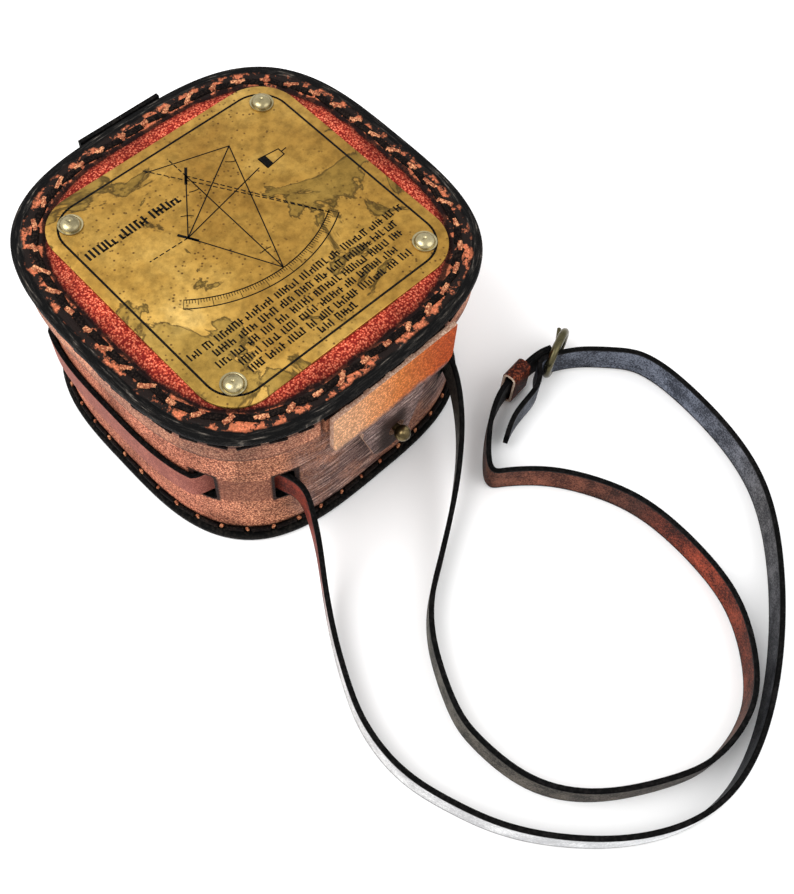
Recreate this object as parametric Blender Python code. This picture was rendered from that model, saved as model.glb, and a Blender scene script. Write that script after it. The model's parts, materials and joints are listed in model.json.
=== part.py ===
"""A small brass sextant in its hand-laced leather carrying case, shut, with its strap on the floor.

Metres, +Z up. The origin is the middle of the case's underside. The closure is on -Y, the hinge on +Y.
"""
import math

import bpy
import bmesh
from mathutils import Matrix, Vector

GAP = 0.0003                     # air left between pieces that touch
UNION_STEP = 0.0001              # keeps the faces of shapes joined into one piece from lying together

# case
CORNER_POWER = 3.2               # how square the plan outline is
OUTLINE_POINTS = 64
BASE_OVERHANG = 0.0026           # the bottom panel past the wall
BASE_THICK = 0.0030
WALL_HALF = 0.0620
WALL_THICK = 0.0022
WALL_HEIGHT = 0.0670
LACE_THICK = 0.0012
LACE_WIDTH = 0.0020

# lid
SKIRT_PLAY = 0.0010              # between the wall and the lid's skirt
SKIRT_THICK = 0.0020
SKIRT_DROP = 0.0104
RIM_OVERHANG = 0.0014            # the lid's top panel past its skirt
PANEL_THICK = 0.0033
PLATE_SIDE = 0.1000
PLATE_CORNER = 0.0150
PLATE_THICK = 0.0008
RIVET_INSET = 0.0100             # from the plate's edges
RIVET_HEAD_RADIUS = 0.0042
RIVET_HEAD_HEIGHT = 0.0020
RIVET_HEAD_EDGE = 0.0004         # the straight edge under the dome
RIVET_SHANK_RADIUS = 0.0014
RIVET_PLAY = 0.0004
RIVET_TAIL = 0.0012

# hinge
HINGE_WIDTH = 0.0330
HINGE_THICK = 0.0015
HINGE_LEAF_DROP = 0.0190         # how far the leather runs down the back wall

# closure
FLAP_CENTRE_X = 0.0022
FLAP_WIDTH = 0.0530
FLAP_THICK = 0.0018
FLAP_SHOULDER_DROP = 0.0212
FLAP_CORNER = 0.0050
TONGUE_TOP_WIDTH = 0.0290
TONGUE_END_WIDTH = 0.0170
TONGUE_DROP = 0.0470
TONGUE_ROUND = 0.6               # how full the tongue's tip is
STUD_X = 0.0043
STUD_DROP = 0.0373               # the stud below the flap's top
BALL_RADIUS = 0.0029
BALL_PLAY = 0.0008               # round the ball in the flap's slit
BALL_SEAT = 0.9                  # the ball's middle in front of the flap, as a share of its radius
NECK_RADIUS = 0.0015
STUD_FOOT_RADIUS = 0.0040
STUD_FOOT_THICK = 0.0012
STUD_SHANK_RADIUS = 0.0012
BACKING_RADIUS = 0.0050
BACKING_THICK = 0.0012

# strap
STRAP_WIDTH = 0.0125
STRAP_THICK = 0.0018
STRAP_HEIGHT = 0.0325            # middle of the strap where it goes round the case
STRAP_STANDOFF = 0.0004
SLOT_X = 0.0368                  # slots in the front and back
SLOT_Y = 0.0400                  # slots in the sides
SLOT_WIDTH = 0.0070
SLOT_PLAY = 0.0018               # above and below the strap
STRAP_RAMP = 0.0070              # the length over which it passes through the wall
STRAP_START = math.radians(-136.4)
STRAP_STEPS = 132
ROUTE_STEPS = 8
ROUTE_SPACING = 0.0200
ROUTE_TURN = math.radians(16)

# buckle
BUCKLE_LENGTH = 0.0200
BUCKLE_PLAY = 0.00045            # above and below the strap
BUCKLE_WIRE = 0.0012
BUCKLE_CORNER = 0.0040
BUCKLE_TURN = math.radians(20.5)
BAR_RADIUS = 0.0009
BAR_X = 0.0810
BAR_Y = -0.0755
PRONG_RADIUS = 0.0008
PRONG_EYE_HEIGHT = 0.0020
KEEPER_X = 0.0607
KEEPER_Y = -0.0734
KEEPER_TURN = math.radians(6)
KEEPER_LENGTH = 0.0090
KEEPER_THICK = 0.0014
KEEPER_PLAY = 0.0006

# sextant
PIVOT_Y = 0.0420                 # the index arm's pivot, from the middle of the case
FOOT_HEIGHT = 0.0170
FOOT_RADIUS = 0.0030
FRAME_THICK = 0.0026
ARC_RADIUS = 0.0850              # middle of the limb
LIMB_WIDTH = 0.0140
LIMB_ANGLE = math.radians(33)
PARK_ANGLE = math.radians(5)     # the scale's zero inside the limb's end
LEG_ANGLE = math.radians(28)
LEG_WIDTH = 0.0080
BAR_LEVEL = 0.0100               # the cross bar's Y
APEX_RADIUS = 0.0130
LUG_RADIUS = 0.0085
SCALE_WIDTH = 0.0070
SCALE_THICK = 0.0008
SCALE_MARGIN = 0.03              # radians of bare limb past the scale's ends
ARM_WIDTH = 0.0090
ARM_THICK = 0.0016
ARM_HEAD_RADIUS = 0.0085
SHOE_WIDTH = 0.0220
SHOE_DEPTH = 0.0160
SHOE_CORNER = 0.0020
SHOE_OVERLAP = 0.9               # the share of the shoe that the arm's bar doesn't reach into
WINDOW_WIDTH = 0.0140
WINDOW_DEPTH = 0.0060
WINDOW_CORNER = 0.0010
VERNIER_THICK = 0.0010
PIVOT_RADIUS = 0.0020
PIVOT_HEAD_RADIUS = 0.0045
PIVOT_HEAD_HEIGHT = 0.0020
SIGHT_HEIGHT = 0.0127            # the line of sight above the arm's top
HORIZON_X = -0.0330
INDEX_MIRROR_WIDTH = 0.0200
HORIZON_MIRROR_WIDTH = 0.0150
MIRROR_HEIGHT = 0.0180
MIRROR_THICK = 0.0018
HOLDER_THICK = 0.0014
HOLDER_LIP = 0.0010
HOLDER_DEPTH = 0.0100
TUBE_RADIUS = 0.0070
TUBE_WALL = 0.0010
TUBE_START = 0.0080
TUBE_END = 0.0440
BELL_LENGTH = 0.0040
BELL_RISE = 0.0008
COLLAR_X = 0.0300
COLLAR_LENGTH = 0.0080
COLLAR_WALL = 0.0020
BRACKET_STEP = 0.0005
POST_DEPTH = 0.0060
BRACKET_FOOT_DEPTH = 0.0096
BRACKET_FOOT_THICK = 0.0015
DRAW_PLAY = 0.0004               # between the draw tube and the tube's bore
DRAW_WALL = 0.0010
DRAW_START = 0.0280
EYECUP_LENGTH = 0.0045
EYECUP_SEAT = 0.0005             # from the tube's end to the cup when it is pushed in
LENS_THICK = 0.0018
LENS_DOME = 0.0003
LENS_CROWN = 0.6                 # where the lenses' faces start to fall away, as a share of their radius
LENS_SET = 0.0012                # the objective behind the tube's mouth
LENS_EYE_EDGE = 0.0005
SHADE_RADIUS = 0.0066
SHADE_RIM = 0.0014
SHADE_THICK = 0.0014
SHADE_STEP = 0.0019
SHADE_FIRST = 0.0005             # the first shade's middle along its pin
SHADE_ARM_WIDTH = 0.0026
SHADE_PIN_RADIUS = 0.0010
SHADE_HUB_RADIUS = 0.0024
SHADE_OFFSET = 0.0090            # the index shades' pin, outside the light's path
SHADE_PIN_LEVEL = 0.0034         # shade pins above the frame's top
PIN_HEAD_EDGE = 0.0006
PIN_HEAD_LENGTH = 0.0008
PIN_ROOT = 0.0012
PIN_BLOCK_THICK = 0.0020
PIN_BLOCK_WIDTH = 0.0050
PIN_BLOCK_BACK = 0.0016          # the block's middle behind the pin's shoulder
HORIZON_SHADE_X = -0.0440
CLAMP_RADIUS = 0.0042
CLAMP_HEIGHT = 0.0060
CLAMP_COLLAR = 0.0012
CLAMP_INSET = 0.0190             # from the arc's middle back along the arm
TANGENT_INSET = 0.0088
SCREW_ROD_RADIUS = 0.0011
SCREW_EDGE = 0.0006
TANGENT_LEVEL = 0.0045           # above the arm's top
TANGENT_KNOB_RADIUS = 0.0036
TANGENT_KNOB_LENGTH = 0.0060
TANGENT_TAIL = 0.0010
EAR_THICK = 0.0020
EAR_SPACING = 0.0130
HANDLE_X = 0.0140
HANDLE_LENGTH = 0.0440
GRIP_RADIUS = 0.0050
GRIP_TAPER = 0.7
GRIP_LEVEL = 0.0085              # the grip's middle above the case's floor
POST_SIDE = 0.0050

# the strap's two free ends on the floor, each from its slot to the buckle, at the middle of its width
LEFT_ROUTE = (
    (-0.0470, -0.0470, 0.0325), (-0.0426, -0.0498, 0.0325), (-0.0388, -0.0526, 0.0325),
    (-0.0368, -0.0566, 0.0322), (-0.0352, -0.0610, 0.0314), (-0.0352, -0.0655, 0.0290),
    (-0.0372, -0.0712, 0.0244), (-0.0412, -0.0790, 0.0172), (-0.0484, -0.0900, 0.0104),
    (-0.0555, -0.1018, 0.0074),
    (-0.0618, -0.1140, 0.0066), (-0.0672, -0.1268, 0.0065), (-0.0694, -0.1400, 0.0065),
    (-0.0688, -0.1510, 0.0065), (-0.0660, -0.1620, 0.0065), (-0.0586, -0.1808, 0.0065),
    (-0.0455, -0.1984, 0.0065), (-0.0293, -0.2128, 0.0065), (-0.0103, -0.2218, 0.0065),
    (0.0104, -0.2222, 0.0065), (0.0344, -0.2136, 0.0065), (0.0594, -0.1982, 0.0065),
    (0.0817, -0.1790, 0.0065), (0.0961, -0.1601, 0.0065), (0.1030, -0.1385, 0.0065),
    (0.1053, -0.1172, 0.0066), (0.1046, -0.1050, 0.0068), (0.1018, -0.0968, 0.0071),
    (0.0955, -0.0900, 0.0076), (0.0883, -0.0838, 0.0084), (0.0828, -0.0803, 0.0090),
    (0.0768, -0.0773, 0.0092), (0.0716, -0.0757, 0.0092), (0.0686, -0.0775, 0.0090),
    (0.0655, -0.0806, 0.0086), (0.0608, -0.0826, 0.0080), (0.0526, -0.0836, 0.0072),
    (0.0460, -0.0854, 0.0068), (0.0405, -0.0882, 0.0066),
)
RIGHT_ROUTE = (
    (0.0470, -0.0470, 0.0325), (0.0426, -0.0498, 0.0325), (0.0388, -0.0526, 0.0325),
    (0.0368, -0.0566, 0.0322), (0.0354, -0.0612, 0.0314), (0.0334, -0.0662, 0.0286),
    (0.0302, -0.0720, 0.0240), (0.0256, -0.0782, 0.0190), (0.0188, -0.0850, 0.0146),
    (0.0078, -0.0938, 0.0102),
    (-0.0096, -0.1052, 0.0072), (-0.0222, -0.1132, 0.0066), (-0.0310, -0.1222, 0.0065),
    (-0.0375, -0.1328, 0.0065), (-0.0430, -0.1450, 0.0065), (-0.0450, -0.1560, 0.0065),
    (-0.0424, -0.1775, 0.0065), (-0.0297, -0.1948, 0.0065), (-0.0085, -0.2080, 0.0065),
    (0.0060, -0.2130, 0.0065), (0.0232, -0.2118, 0.0065), (0.0372, -0.2046, 0.0065),
    (0.0519, -0.1866, 0.0065), (0.0574, -0.1661, 0.0065), (0.0580, -0.1418, 0.0065),
    (0.0521, -0.1240, 0.0065), (0.0424, -0.1086, 0.0065), (0.0312, -0.0988, 0.0066),
    (0.0272, -0.0962, 0.0067), (0.0266, -0.0936, 0.0068), (0.0290, -0.0900, 0.0070),
    (0.0347, -0.0846, 0.0074), (0.0430, -0.0784, 0.0080), (0.0519, -0.0744, 0.0086),
    (0.0607, -0.0734, 0.0088), (0.0680, -0.0728, 0.0090), (0.0740, -0.0732, 0.0092),
    (0.0780, -0.0744, 0.0092),
)

# sizes that follow others
BASE_HALF = WALL_HALF + BASE_OVERHANG
BUCKLE_HEIGHT = STRAP_WIDTH + 2 * BUCKLE_PLAY + 4 * BUCKLE_WIRE
ARM_REACH = ARC_RADIUS + LIMB_WIDTH / 2
CLAMP_REACH = ARC_RADIUS - CLAMP_INSET
TANGENT_REACH = ARC_RADIUS - TANGENT_INSET
DRAW_RADIUS = TUBE_RADIUS - TUBE_WALL - DRAW_PLAY
DRAW_END = TUBE_END + EYECUP_SEAT + EYECUP_LENGTH
EYECUP_RADIUS = TUBE_RADIUS

# heights, from the floor up
WALL_LOW = BASE_THICK + 2 * GAP + LACE_THICK
WALL_HIGH = WALL_LOW + WALL_HEIGHT
SKIRT_HALF = WALL_HALF + SKIRT_PLAY + SKIRT_THICK
PANEL_LOW = WALL_HIGH + GAP
SKIRT_HIGH = PANEL_LOW - 2 * GAP - LACE_THICK
SKIRT_LOW = SKIRT_HIGH - SKIRT_DROP
STUD_Z = SKIRT_HIGH - STUD_DROP
PANEL_HALF = SKIRT_HALF + RIM_OVERHANG
PANEL_HIGH = PANEL_LOW + PANEL_THICK
PLATE_LOW = PANEL_HIGH + GAP
PLATE_HIGH = PLATE_LOW + PLATE_THICK

FRAME_LOW = BASE_THICK + FOOT_HEIGHT + 2 * GAP
FRAME_HIGH = FRAME_LOW + FRAME_THICK
SCALE_LOW = FRAME_HIGH + GAP
SCALE_HIGH = SCALE_LOW + SCALE_THICK
ARM_LOW = SCALE_HIGH + GAP
ARM_HIGH = ARM_LOW + ARM_THICK
SIGHT_Z = ARM_HIGH + SIGHT_HEIGHT
SHADE_PIN_Z = FRAME_HIGH + SHADE_PIN_LEVEL


def clear_scene():
    for old in list(bpy.data.objects):
        bpy.data.objects.remove(old, do_unlink=True)


def make_material(name, colour, roughness, metallic):
    material = bpy.data.materials.new(name)
    material.use_nodes = True
    shader = material.node_tree.nodes["Principled BSDF"]
    shader.inputs["Base Color"].default_value = (*colour, 1)
    shader.inputs["Roughness"].default_value = roughness
    shader.inputs["Metallic"].default_value = metallic
    return material


def make_materials():
    return {
        "tan": make_material("tan_leather", (0.55, 0.21, 0.11), 0.6, 0),
        "red": make_material("red_leather", (0.42, 0.06, 0.03), 0.5, 0),
        "black": make_material("black_leather", (0.02, 0.018, 0.017), 0.5, 0),
        "strap": make_material("strap_leather", (0.12, 0.07, 0.06), 0.6, 0),
        "brass": make_material("aged_brass", (0.55, 0.38, 0.12), 0.35, 1),
        "silvered": make_material("silvered_scale", (0.75, 0.74, 0.70), 0.35, 1),
        "glass": make_material("clear_glass", (0.85, 0.90, 0.90), 0.05, 0),
        "shade": make_material("shade_glass", (0.25, 0.08, 0.04), 0.05, 0),
        "mirror": make_material("mirror_glass", (0.88, 0.90, 0.90), 0.05, 1),
        "wood": make_material("grip_wood", (0.16, 0.07, 0.03), 0.4, 0),
    }


def finished(name, bm, material, smooth=True):
    """Turns a bmesh into the named object, faces out, with its flats kept flat."""
    bmesh.ops.remove_doubles(bm, verts=bm.verts, dist=1e-6)
    bmesh.ops.recalc_face_normals(bm, faces=bm.faces)
    mesh = bpy.data.meshes.new(name)
    bm.to_mesh(mesh)
    bm.free()
    mesh.materials.append(material)
    if smooth:
        mesh.shade_smooth()
        mesh.set_sharp_from_angle(angle=math.radians(35))
    made = bpy.data.objects.new(name, mesh)
    bpy.context.collection.objects.link(made)
    return made


def superellipse(half, count=OUTLINE_POINTS):
    """A rounded square outline, its points spread evenly by angle."""
    points = []
    for index in range(count):
        angle = 2 * math.pi * index / count
        c, s = math.cos(angle), math.sin(angle)
        radius = half / (abs(c) ** CORNER_POWER + abs(s) ** CORNER_POWER) ** (1 / CORNER_POWER)
        points.append((radius * c, radius * s))
    return points


def superellipse_point(half, x):
    """The outline's front side at x: its y and the direction of its outward normal."""
    share = (abs(x) / half) ** CORNER_POWER
    y = -half * (1 - share) ** (1 / CORNER_POWER)
    normal = Vector((math.copysign(abs(x) ** (CORNER_POWER - 1), x), -abs(y) ** (CORNER_POWER - 1), 0))
    return y, normal.normalized()


def rounded_rectangle(width, depth, radius, steps=5):
    points = []
    for quarter, (sx, sy) in enumerate(((1, 1), (-1, 1), (-1, -1), (1, -1))):
        cx = sx * (width / 2 - radius)
        cy = sy * (depth / 2 - radius)
        for step in range(steps + 1):
            angle = math.pi / 2 * (quarter + step / steps)
            points.append((cx + radius * math.cos(angle), cy + radius * math.sin(angle)))
    return points


def circle(radius, count=24, centre=(0, 0)):
    x, y = centre
    angles = [2 * math.pi * i / count for i in range(count)]
    return [(x + radius * math.cos(a), y + radius * math.sin(a)) for a in angles]


def sector(inner, outer, half_angle, centre_y, steps=22):
    """A ring's part about the pivot, opening towards -Y."""
    angles = [half_angle * (2 * i / steps - 1) for i in range(steps + 1)]
    far = [(outer * math.sin(a), centre_y - outer * math.cos(a)) for a in angles]
    near = [(inner * math.sin(a), centre_y - inner * math.cos(a)) for a in reversed(angles)]
    return far + near


def prism(name, outline, low, high, material, smooth=True):
    """A flat outline given a height along Z."""
    bm = bmesh.new()
    face = bm.faces.new([bm.verts.new((x, y, low)) for x, y in outline])
    raised = bmesh.ops.extrude_face_region(bm, geom=[face])["geom"]
    top = [item for item in raised if isinstance(item, bmesh.types.BMVert)]
    bmesh.ops.translate(bm, verts=top, vec=(0, 0, high - low))
    return finished(name, bm, material, smooth)


def hollow_prism(name, outer, inner, low, high, material):
    """A wall of even height between two outlines with the same number of points."""
    bm = bmesh.new()
    rings = []
    for outline in (outer, inner):
        verts = [bm.verts.new((x, y, low)) for x, y in outline]
        rings.append([bm.edges.new((verts[i - 1], verts[i])) for i in range(len(verts))])
    floor = bmesh.ops.bridge_loops(bm, edges=rings[0] + rings[1])["faces"]
    raised = bmesh.ops.extrude_face_region(bm, geom=floor)["geom"]
    top = [item for item in raised if isinstance(item, bmesh.types.BMVert)]
    bmesh.ops.translate(bm, verts=top, vec=(0, 0, high - low))
    return finished(name, bm, material)


def turned(name, profile, material, steps=24):
    """A profile of (radius, height) points turned about Z, with a bore if it starts off the axis."""
    bm = bmesh.new()
    verts = [bm.verts.new((radius, 0, height)) for radius, height in profile]
    edges = [bm.edges.new((verts[i], verts[i + 1])) for i in range(len(verts) - 1)]
    if profile[0][0] > 0:
        edges.append(bm.edges.new((verts[-1], verts[0])))
    bmesh.ops.spin(bm, geom=verts + edges, cent=(0, 0, 0), axis=(0, 0, 1), angle=2 * math.pi, steps=steps,
                   use_merge=True)
    return finished(name, bm, material)


def rod(name, radius, low, high, material, steps=20):
    return turned(name, ((0, low), (radius, low), (radius, high), (0, high)), material, steps)


def block(name, size, centre, material):
    bm = bmesh.new()
    bmesh.ops.create_cube(bm, size=1)
    bmesh.ops.scale(bm, vec=size, verts=bm.verts)
    bmesh.ops.translate(bm, vec=centre, verts=bm.verts)
    return finished(name, bm, material, smooth=False)


def as_tool(tool):
    tool.hide_render = True
    tool.display_type = "WIRE"
    return tool


def combine(target, tools, operation):
    """Cuts or adds each tool with an exact Boolean; a tool keeps out of the build."""
    for tool in tools:
        modifier = target.modifiers.new(operation.lower(), "BOOLEAN")
        modifier.operation = operation
        modifier.solver = "EXACT"
        modifier.object = as_tool(tool)
    return target


def under(parent, *children):
    for child in children:
        child.parent = parent


def place(made, location=(0, 0, 0), rotation=(0, 0, 0)):
    made.location = location
    made.rotation_euler = rotation
    return made


def axis_empty(name, location, rotation=(0, 0, 0), parent=None):
    """An empty on a moving piece's axis."""
    empty = bpy.data.objects.new(name, None)
    empty.empty_display_size = 0.01
    bpy.context.collection.objects.link(empty)
    empty.parent = parent
    return place(empty, location, rotation)


def smooth_route(points, steps):
    """Points on a Catmull-Rom curve through the route."""
    route = [Vector(p) for p in points]
    ends = [2 * route[0] - route[1]] + route + [2 * route[-1] - route[-2]]
    found = []
    for a, b, c, d in zip(ends, ends[1:], ends[2:], ends[3:]):
        for step in range(steps):
            t = step / steps
            found.append(0.5 * (2 * b + (c - a) * t + (2 * a - 5 * b + 4 * c - d) * t ** 2
                                + (3 * b - a - 3 * c + d) * t ** 3))
    return found + [route[-1]]


def thinned(points):
    """Keeps a point wherever the line has run on or turned enough since the last one kept."""
    kept = [points[0]]
    heading = (points[1] - points[0]).normalized()
    for before, point, after in zip(points, points[1:], points[2:]):
        ahead = (after - before).normalized()
        if (point - kept[-1]).length > ROUTE_SPACING or heading.angle(ahead) > ROUTE_TURN:
            kept.append(point)
            heading = ahead
    return kept + [points[-1]]


def strap_length(name, route, material):
    """A free end of the strap: a flat band on edge along its route."""
    data = bpy.data.curves.new(name, "CURVE")
    data.dimensions = "3D"
    data.twist_mode = "Z_UP"
    data.extrude = (STRAP_WIDTH - STRAP_THICK) / 2
    data.bevel_depth = STRAP_THICK / 2
    data.bevel_resolution = 2
    data.use_fill_caps = True
    points = thinned(smooth_route(route, ROUTE_STEPS))
    spline = data.splines.new("POLY")
    spline.points.add(len(points) - 1)
    for point, where in zip(spline.points, points):
        point.co = (*where, 1)
    data.materials.append(material)
    made = bpy.data.objects.new(name, data)
    bpy.context.collection.objects.link(made)
    return made


def make_slot_cutters(material):
    """One cutter for each of the eight slots, square to the wall where it stands."""
    cutters = []
    size = (4 * WALL_THICK, SLOT_WIDTH, STRAP_WIDTH + 2 * SLOT_PLAY)
    stations = [(side * slot, quarter) for quarter, slot in enumerate((SLOT_X, SLOT_Y, SLOT_X, SLOT_Y))
                for side in (-1, 1)]
    for number, (along, quarter) in enumerate(stations):
        y, normal = superellipse_point(WALL_HALF - WALL_THICK / 2, along)
        cutter = block(f"slot_cutter_{number + 1}", size, (0, 0, 0), material)
        where = Matrix.Rotation(quarter * math.pi / 2, 4, "Z") @ Matrix.Translation((along, y, STRAP_HEIGHT))
        cutter.matrix_world = where @ Matrix.Rotation(math.atan2(normal.y, normal.x), 4, "Z")
        cutters.append(cutter)
    return cutters


def strap_plan():
    """The strap's middle line round the case in plan: out along each face, in behind each corner."""
    outside = WALL_HALF + STRAP_STANDOFF + STRAP_THICK / 2
    inside = WALL_HALF - WALL_THICK - STRAP_STANDOFF - STRAP_THICK / 2
    span = 3 * math.pi - 2 * abs(STRAP_START)        # from one front corner round the back to the other
    points = []
    for index in range(STRAP_STEPS + 1):
        angle = STRAP_START - span * index / STRAP_STEPS
        c, s = math.cos(angle), math.sin(angle)
        unit = 1 / (abs(c) ** CORNER_POWER + abs(s) ** CORNER_POWER) ** (1 / CORNER_POWER)
        along, slot = (abs(c), SLOT_X) if abs(s) > abs(c) else (abs(s), SLOT_Y)
        share = min(1, max(0, (along * unit * WALL_HALF - slot) / STRAP_RAMP + 0.5))
        half = outside + (inside - outside) * share * share * (3 - 2 * share)
        points.append(Vector((half * unit * c, half * unit * s)))
    return points


def band_outline(middle, thick):
    """A plan line made into a closed outline of even thickness."""
    sides = ([], [])
    for index, point in enumerate(middle):
        ahead = middle[min(index + 1, len(middle) - 1)] - middle[max(index - 1, 0)]
        across = Vector((-ahead.y, ahead.x)).normalized() * thick / 2
        sides[0].append(point + across)
        sides[1].append(point - across)
    return sides[0] + sides[1][::-1]


def make_case(materials):
    tan = materials["tan"]
    prism("case_bottom", superellipse(BASE_HALF), 0, BASE_THICK, tan)
    lace_low = BASE_THICK + GAP
    hollow_prism("case_bottom_lacing", superellipse(WALL_HALF), superellipse(WALL_HALF - LACE_WIDTH),
                 lace_low, lace_low + LACE_THICK, materials["black"])
    wall = hollow_prism("case_wall", superellipse(WALL_HALF), superellipse(WALL_HALF - WALL_THICK),
                        WALL_LOW, WALL_HIGH, tan)
    combine(wall, make_slot_cutters(tan), "DIFFERENCE")
    stud_hole = rod("stud_hole_cutter", STUD_SHANK_RADIUS + GAP, -2 * WALL_THICK, 2 * WALL_THICK, tan)
    combine(wall, [place(stud_hole, (STUD_X, -WALL_HALF, STUD_Z), (math.pi / 2, 0, 0))], "DIFFERENCE")
    leaf_y = WALL_HALF + GAP + HINGE_THICK / 2
    block("hinge_leaf_case", (HINGE_WIDTH, HINGE_THICK, HINGE_LEAF_DROP),
          (0, leaf_y, SKIRT_LOW - GAP - HINGE_LEAF_DROP / 2), materials["black"])


def make_stud(materials):
    """A ball stud riveted through the case's front wall, with a washer behind it."""
    foot = WALL_HALF + GAP
    foot_top = foot + STUD_FOOT_THICK
    ball = SKIRT_HALF + GAP + FLAP_THICK + GAP + BALL_SEAT * BALL_RADIUS
    back = WALL_HALF - WALL_THICK - GAP
    tail = back - BACKING_THICK - GAP
    start = math.asin(NECK_RADIUS / BALL_RADIUS)
    sphere = [(BALL_RADIUS * math.sin(a), ball - BALL_RADIUS * math.cos(a))
              for a in (start + (math.pi - start) * i / 8 for i in range(8))]
    profile = [(0, tail), (STUD_SHANK_RADIUS, tail), (STUD_SHANK_RADIUS, foot), (STUD_FOOT_RADIUS, foot),
               (STUD_FOOT_RADIUS, foot_top), (NECK_RADIUS, foot_top), *sphere, (0, ball + BALL_RADIUS)]
    hole = STUD_SHANK_RADIUS + GAP
    washer = ((hole, back - BACKING_THICK), (BACKING_RADIUS, back - BACKING_THICK),
              (BACKING_RADIUS, back), (hole, back))
    for name, shape in (("closure_stud", profile), ("stud_backing", washer)):
        place(turned(name, shape, materials["brass"], 20), (STUD_X, 0, STUD_Z), (math.pi / 2, 0, 0))


def make_lid(materials):
    top = prism("lid_panel", superellipse(PANEL_HALF), PANEL_LOW, PANEL_HIGH, materials["red"])
    hollow_prism("lid_skirt", superellipse(SKIRT_HALF), superellipse(SKIRT_HALF - SKIRT_THICK),
                 SKIRT_LOW, SKIRT_HIGH, materials["tan"])
    lace_low = SKIRT_HIGH + GAP
    hollow_prism("lid_lacing", superellipse(SKIRT_HALF), superellipse(SKIRT_HALF - LACE_WIDTH),
                 lace_low, lace_low + LACE_THICK, materials["black"])
    plate = prism("brass_plate", rounded_rectangle(PLATE_SIDE, PLATE_SIDE, PLATE_CORNER),
                  PLATE_LOW, PLATE_HIGH, materials["brass"])
    corner = PLATE_SIDE / 2 - RIVET_INSET
    for number, (sx, sy) in enumerate(((-1, 1), (1, 1), (1, -1), (-1, -1))):
        where = (sx * corner, sy * corner)
        for target in (top, plate):
            hole = prism(f"{target.name}_rivet_cutter_{number + 1}",
                         circle(RIVET_SHANK_RADIUS + RIVET_PLAY, 16, where),
                         PANEL_LOW - PANEL_THICK, PLATE_HIGH + PANEL_THICK, materials["brass"])
            combine(target, [hole], "DIFFERENCE")
        make_rivet(f"plate_rivet_{number + 1}", where, materials["brass"])
    leaf_y = PANEL_HALF + GAP + HINGE_THICK / 2
    block("hinge_leaf_lid", (HINGE_WIDTH, HINGE_THICK, PANEL_HIGH - SKIRT_LOW - GAP),
          (0, leaf_y, (PANEL_HIGH + SKIRT_LOW + GAP) / 2), materials["black"])


def make_rivet(name, where, material):
    """A domed head on the plate, a shank down through the lid and a peened tail under it."""
    seat = PLATE_HIGH + GAP
    tail = PANEL_LOW - GAP
    tail_radius = 2 * RIVET_SHANK_RADIUS
    crown = RIVET_HEAD_HEIGHT - RIVET_HEAD_EDGE
    dome = [(RIVET_HEAD_RADIUS * math.cos(math.radians(a)),
             seat + RIVET_HEAD_EDGE + crown * math.sin(math.radians(a))) for a in (0, 22, 44, 66)]
    profile = [(0, tail - RIVET_TAIL), (tail_radius, tail - RIVET_TAIL), (tail_radius, tail),
               (RIVET_SHANK_RADIUS, tail), (RIVET_SHANK_RADIUS, seat), (RIVET_HEAD_RADIUS, seat),
               *dome, (0, seat + RIVET_HEAD_HEIGHT)]
    place(turned(name, profile, material, 16), (*where, 0))


def flap_outline():
    """The flap seen from the front, from its hinge line down: two round shoulders and a tongue."""
    half = FLAP_WIDTH / 2
    top = TONGUE_TOP_WIDTH / 2
    end = TONGUE_END_WIDTH / 2
    turns = [math.pi * i / 8 for i in range(5)]
    corner = [(half - FLAP_CORNER * (1 - math.cos(a)), -FLAP_SHOULDER_DROP + FLAP_CORNER * (1 - math.sin(a)))
              for a in turns]
    tip = [(end * math.cos(a), -TONGUE_DROP + TONGUE_ROUND * end * (1 - math.sin(a))) for a in turns[:-1]]
    right = [(half, 0)] + corner + [(top, -FLAP_SHOULDER_DROP)] + tip
    return right + [(0, -TONGUE_DROP)] + [(-x, z) for x, z in reversed(right)]


def make_flap(materials):
    tan = materials["tan"]
    middle_y = -SKIRT_HALF - GAP - FLAP_THICK / 2
    axis = axis_empty("flap_axis", (FLAP_CENTRE_X, middle_y, SKIRT_HIGH), (math.pi / 2, 0, 0))
    flap = prism("closure_flap", flap_outline(), -FLAP_THICK / 2, FLAP_THICK / 2, tan, smooth=False)
    hole = circle(BALL_RADIUS + BALL_PLAY, 20, (STUD_X - FLAP_CENTRE_X, -STUD_DROP))
    slit = prism("flap_slit_cutter", hole, -FLAP_THICK, FLAP_THICK, tan)
    under(axis, flap, slit)
    combine(flap, [slit], "DIFFERENCE")


def make_strap(materials):
    leather = materials["strap"]
    low = STRAP_HEIGHT - STRAP_WIDTH / 2
    prism("strap_around_case", band_outline(strap_plan(), STRAP_THICK), low, low + STRAP_WIDTH, leather)
    strap_length("strap_left", LEFT_ROUTE, leather)
    strap_length("strap_right", RIGHT_ROUTE, leather)
    deep = STRAP_THICK + 2 * KEEPER_PLAY
    tall = STRAP_WIDTH + 2 * KEEPER_PLAY
    outer = rounded_rectangle(deep + 2 * KEEPER_THICK, tall + 2 * KEEPER_THICK, KEEPER_THICK)
    inner = rounded_rectangle(deep, tall, KEEPER_PLAY)
    keeper = hollow_prism("strap_keeper", outer, inner, -KEEPER_LENGTH / 2, KEEPER_LENGTH / 2, leather)
    turn = Matrix.Rotation(KEEPER_TURN, 4, "Z") @ Matrix.Rotation(math.pi / 2, 4, "Y")
    turn = turn @ Matrix.Rotation(math.pi / 2, 4, "Z")
    keeper.matrix_world = Matrix.Translation((KEEPER_X, KEEPER_Y, BUCKLE_HEIGHT / 2)) @ turn


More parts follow.
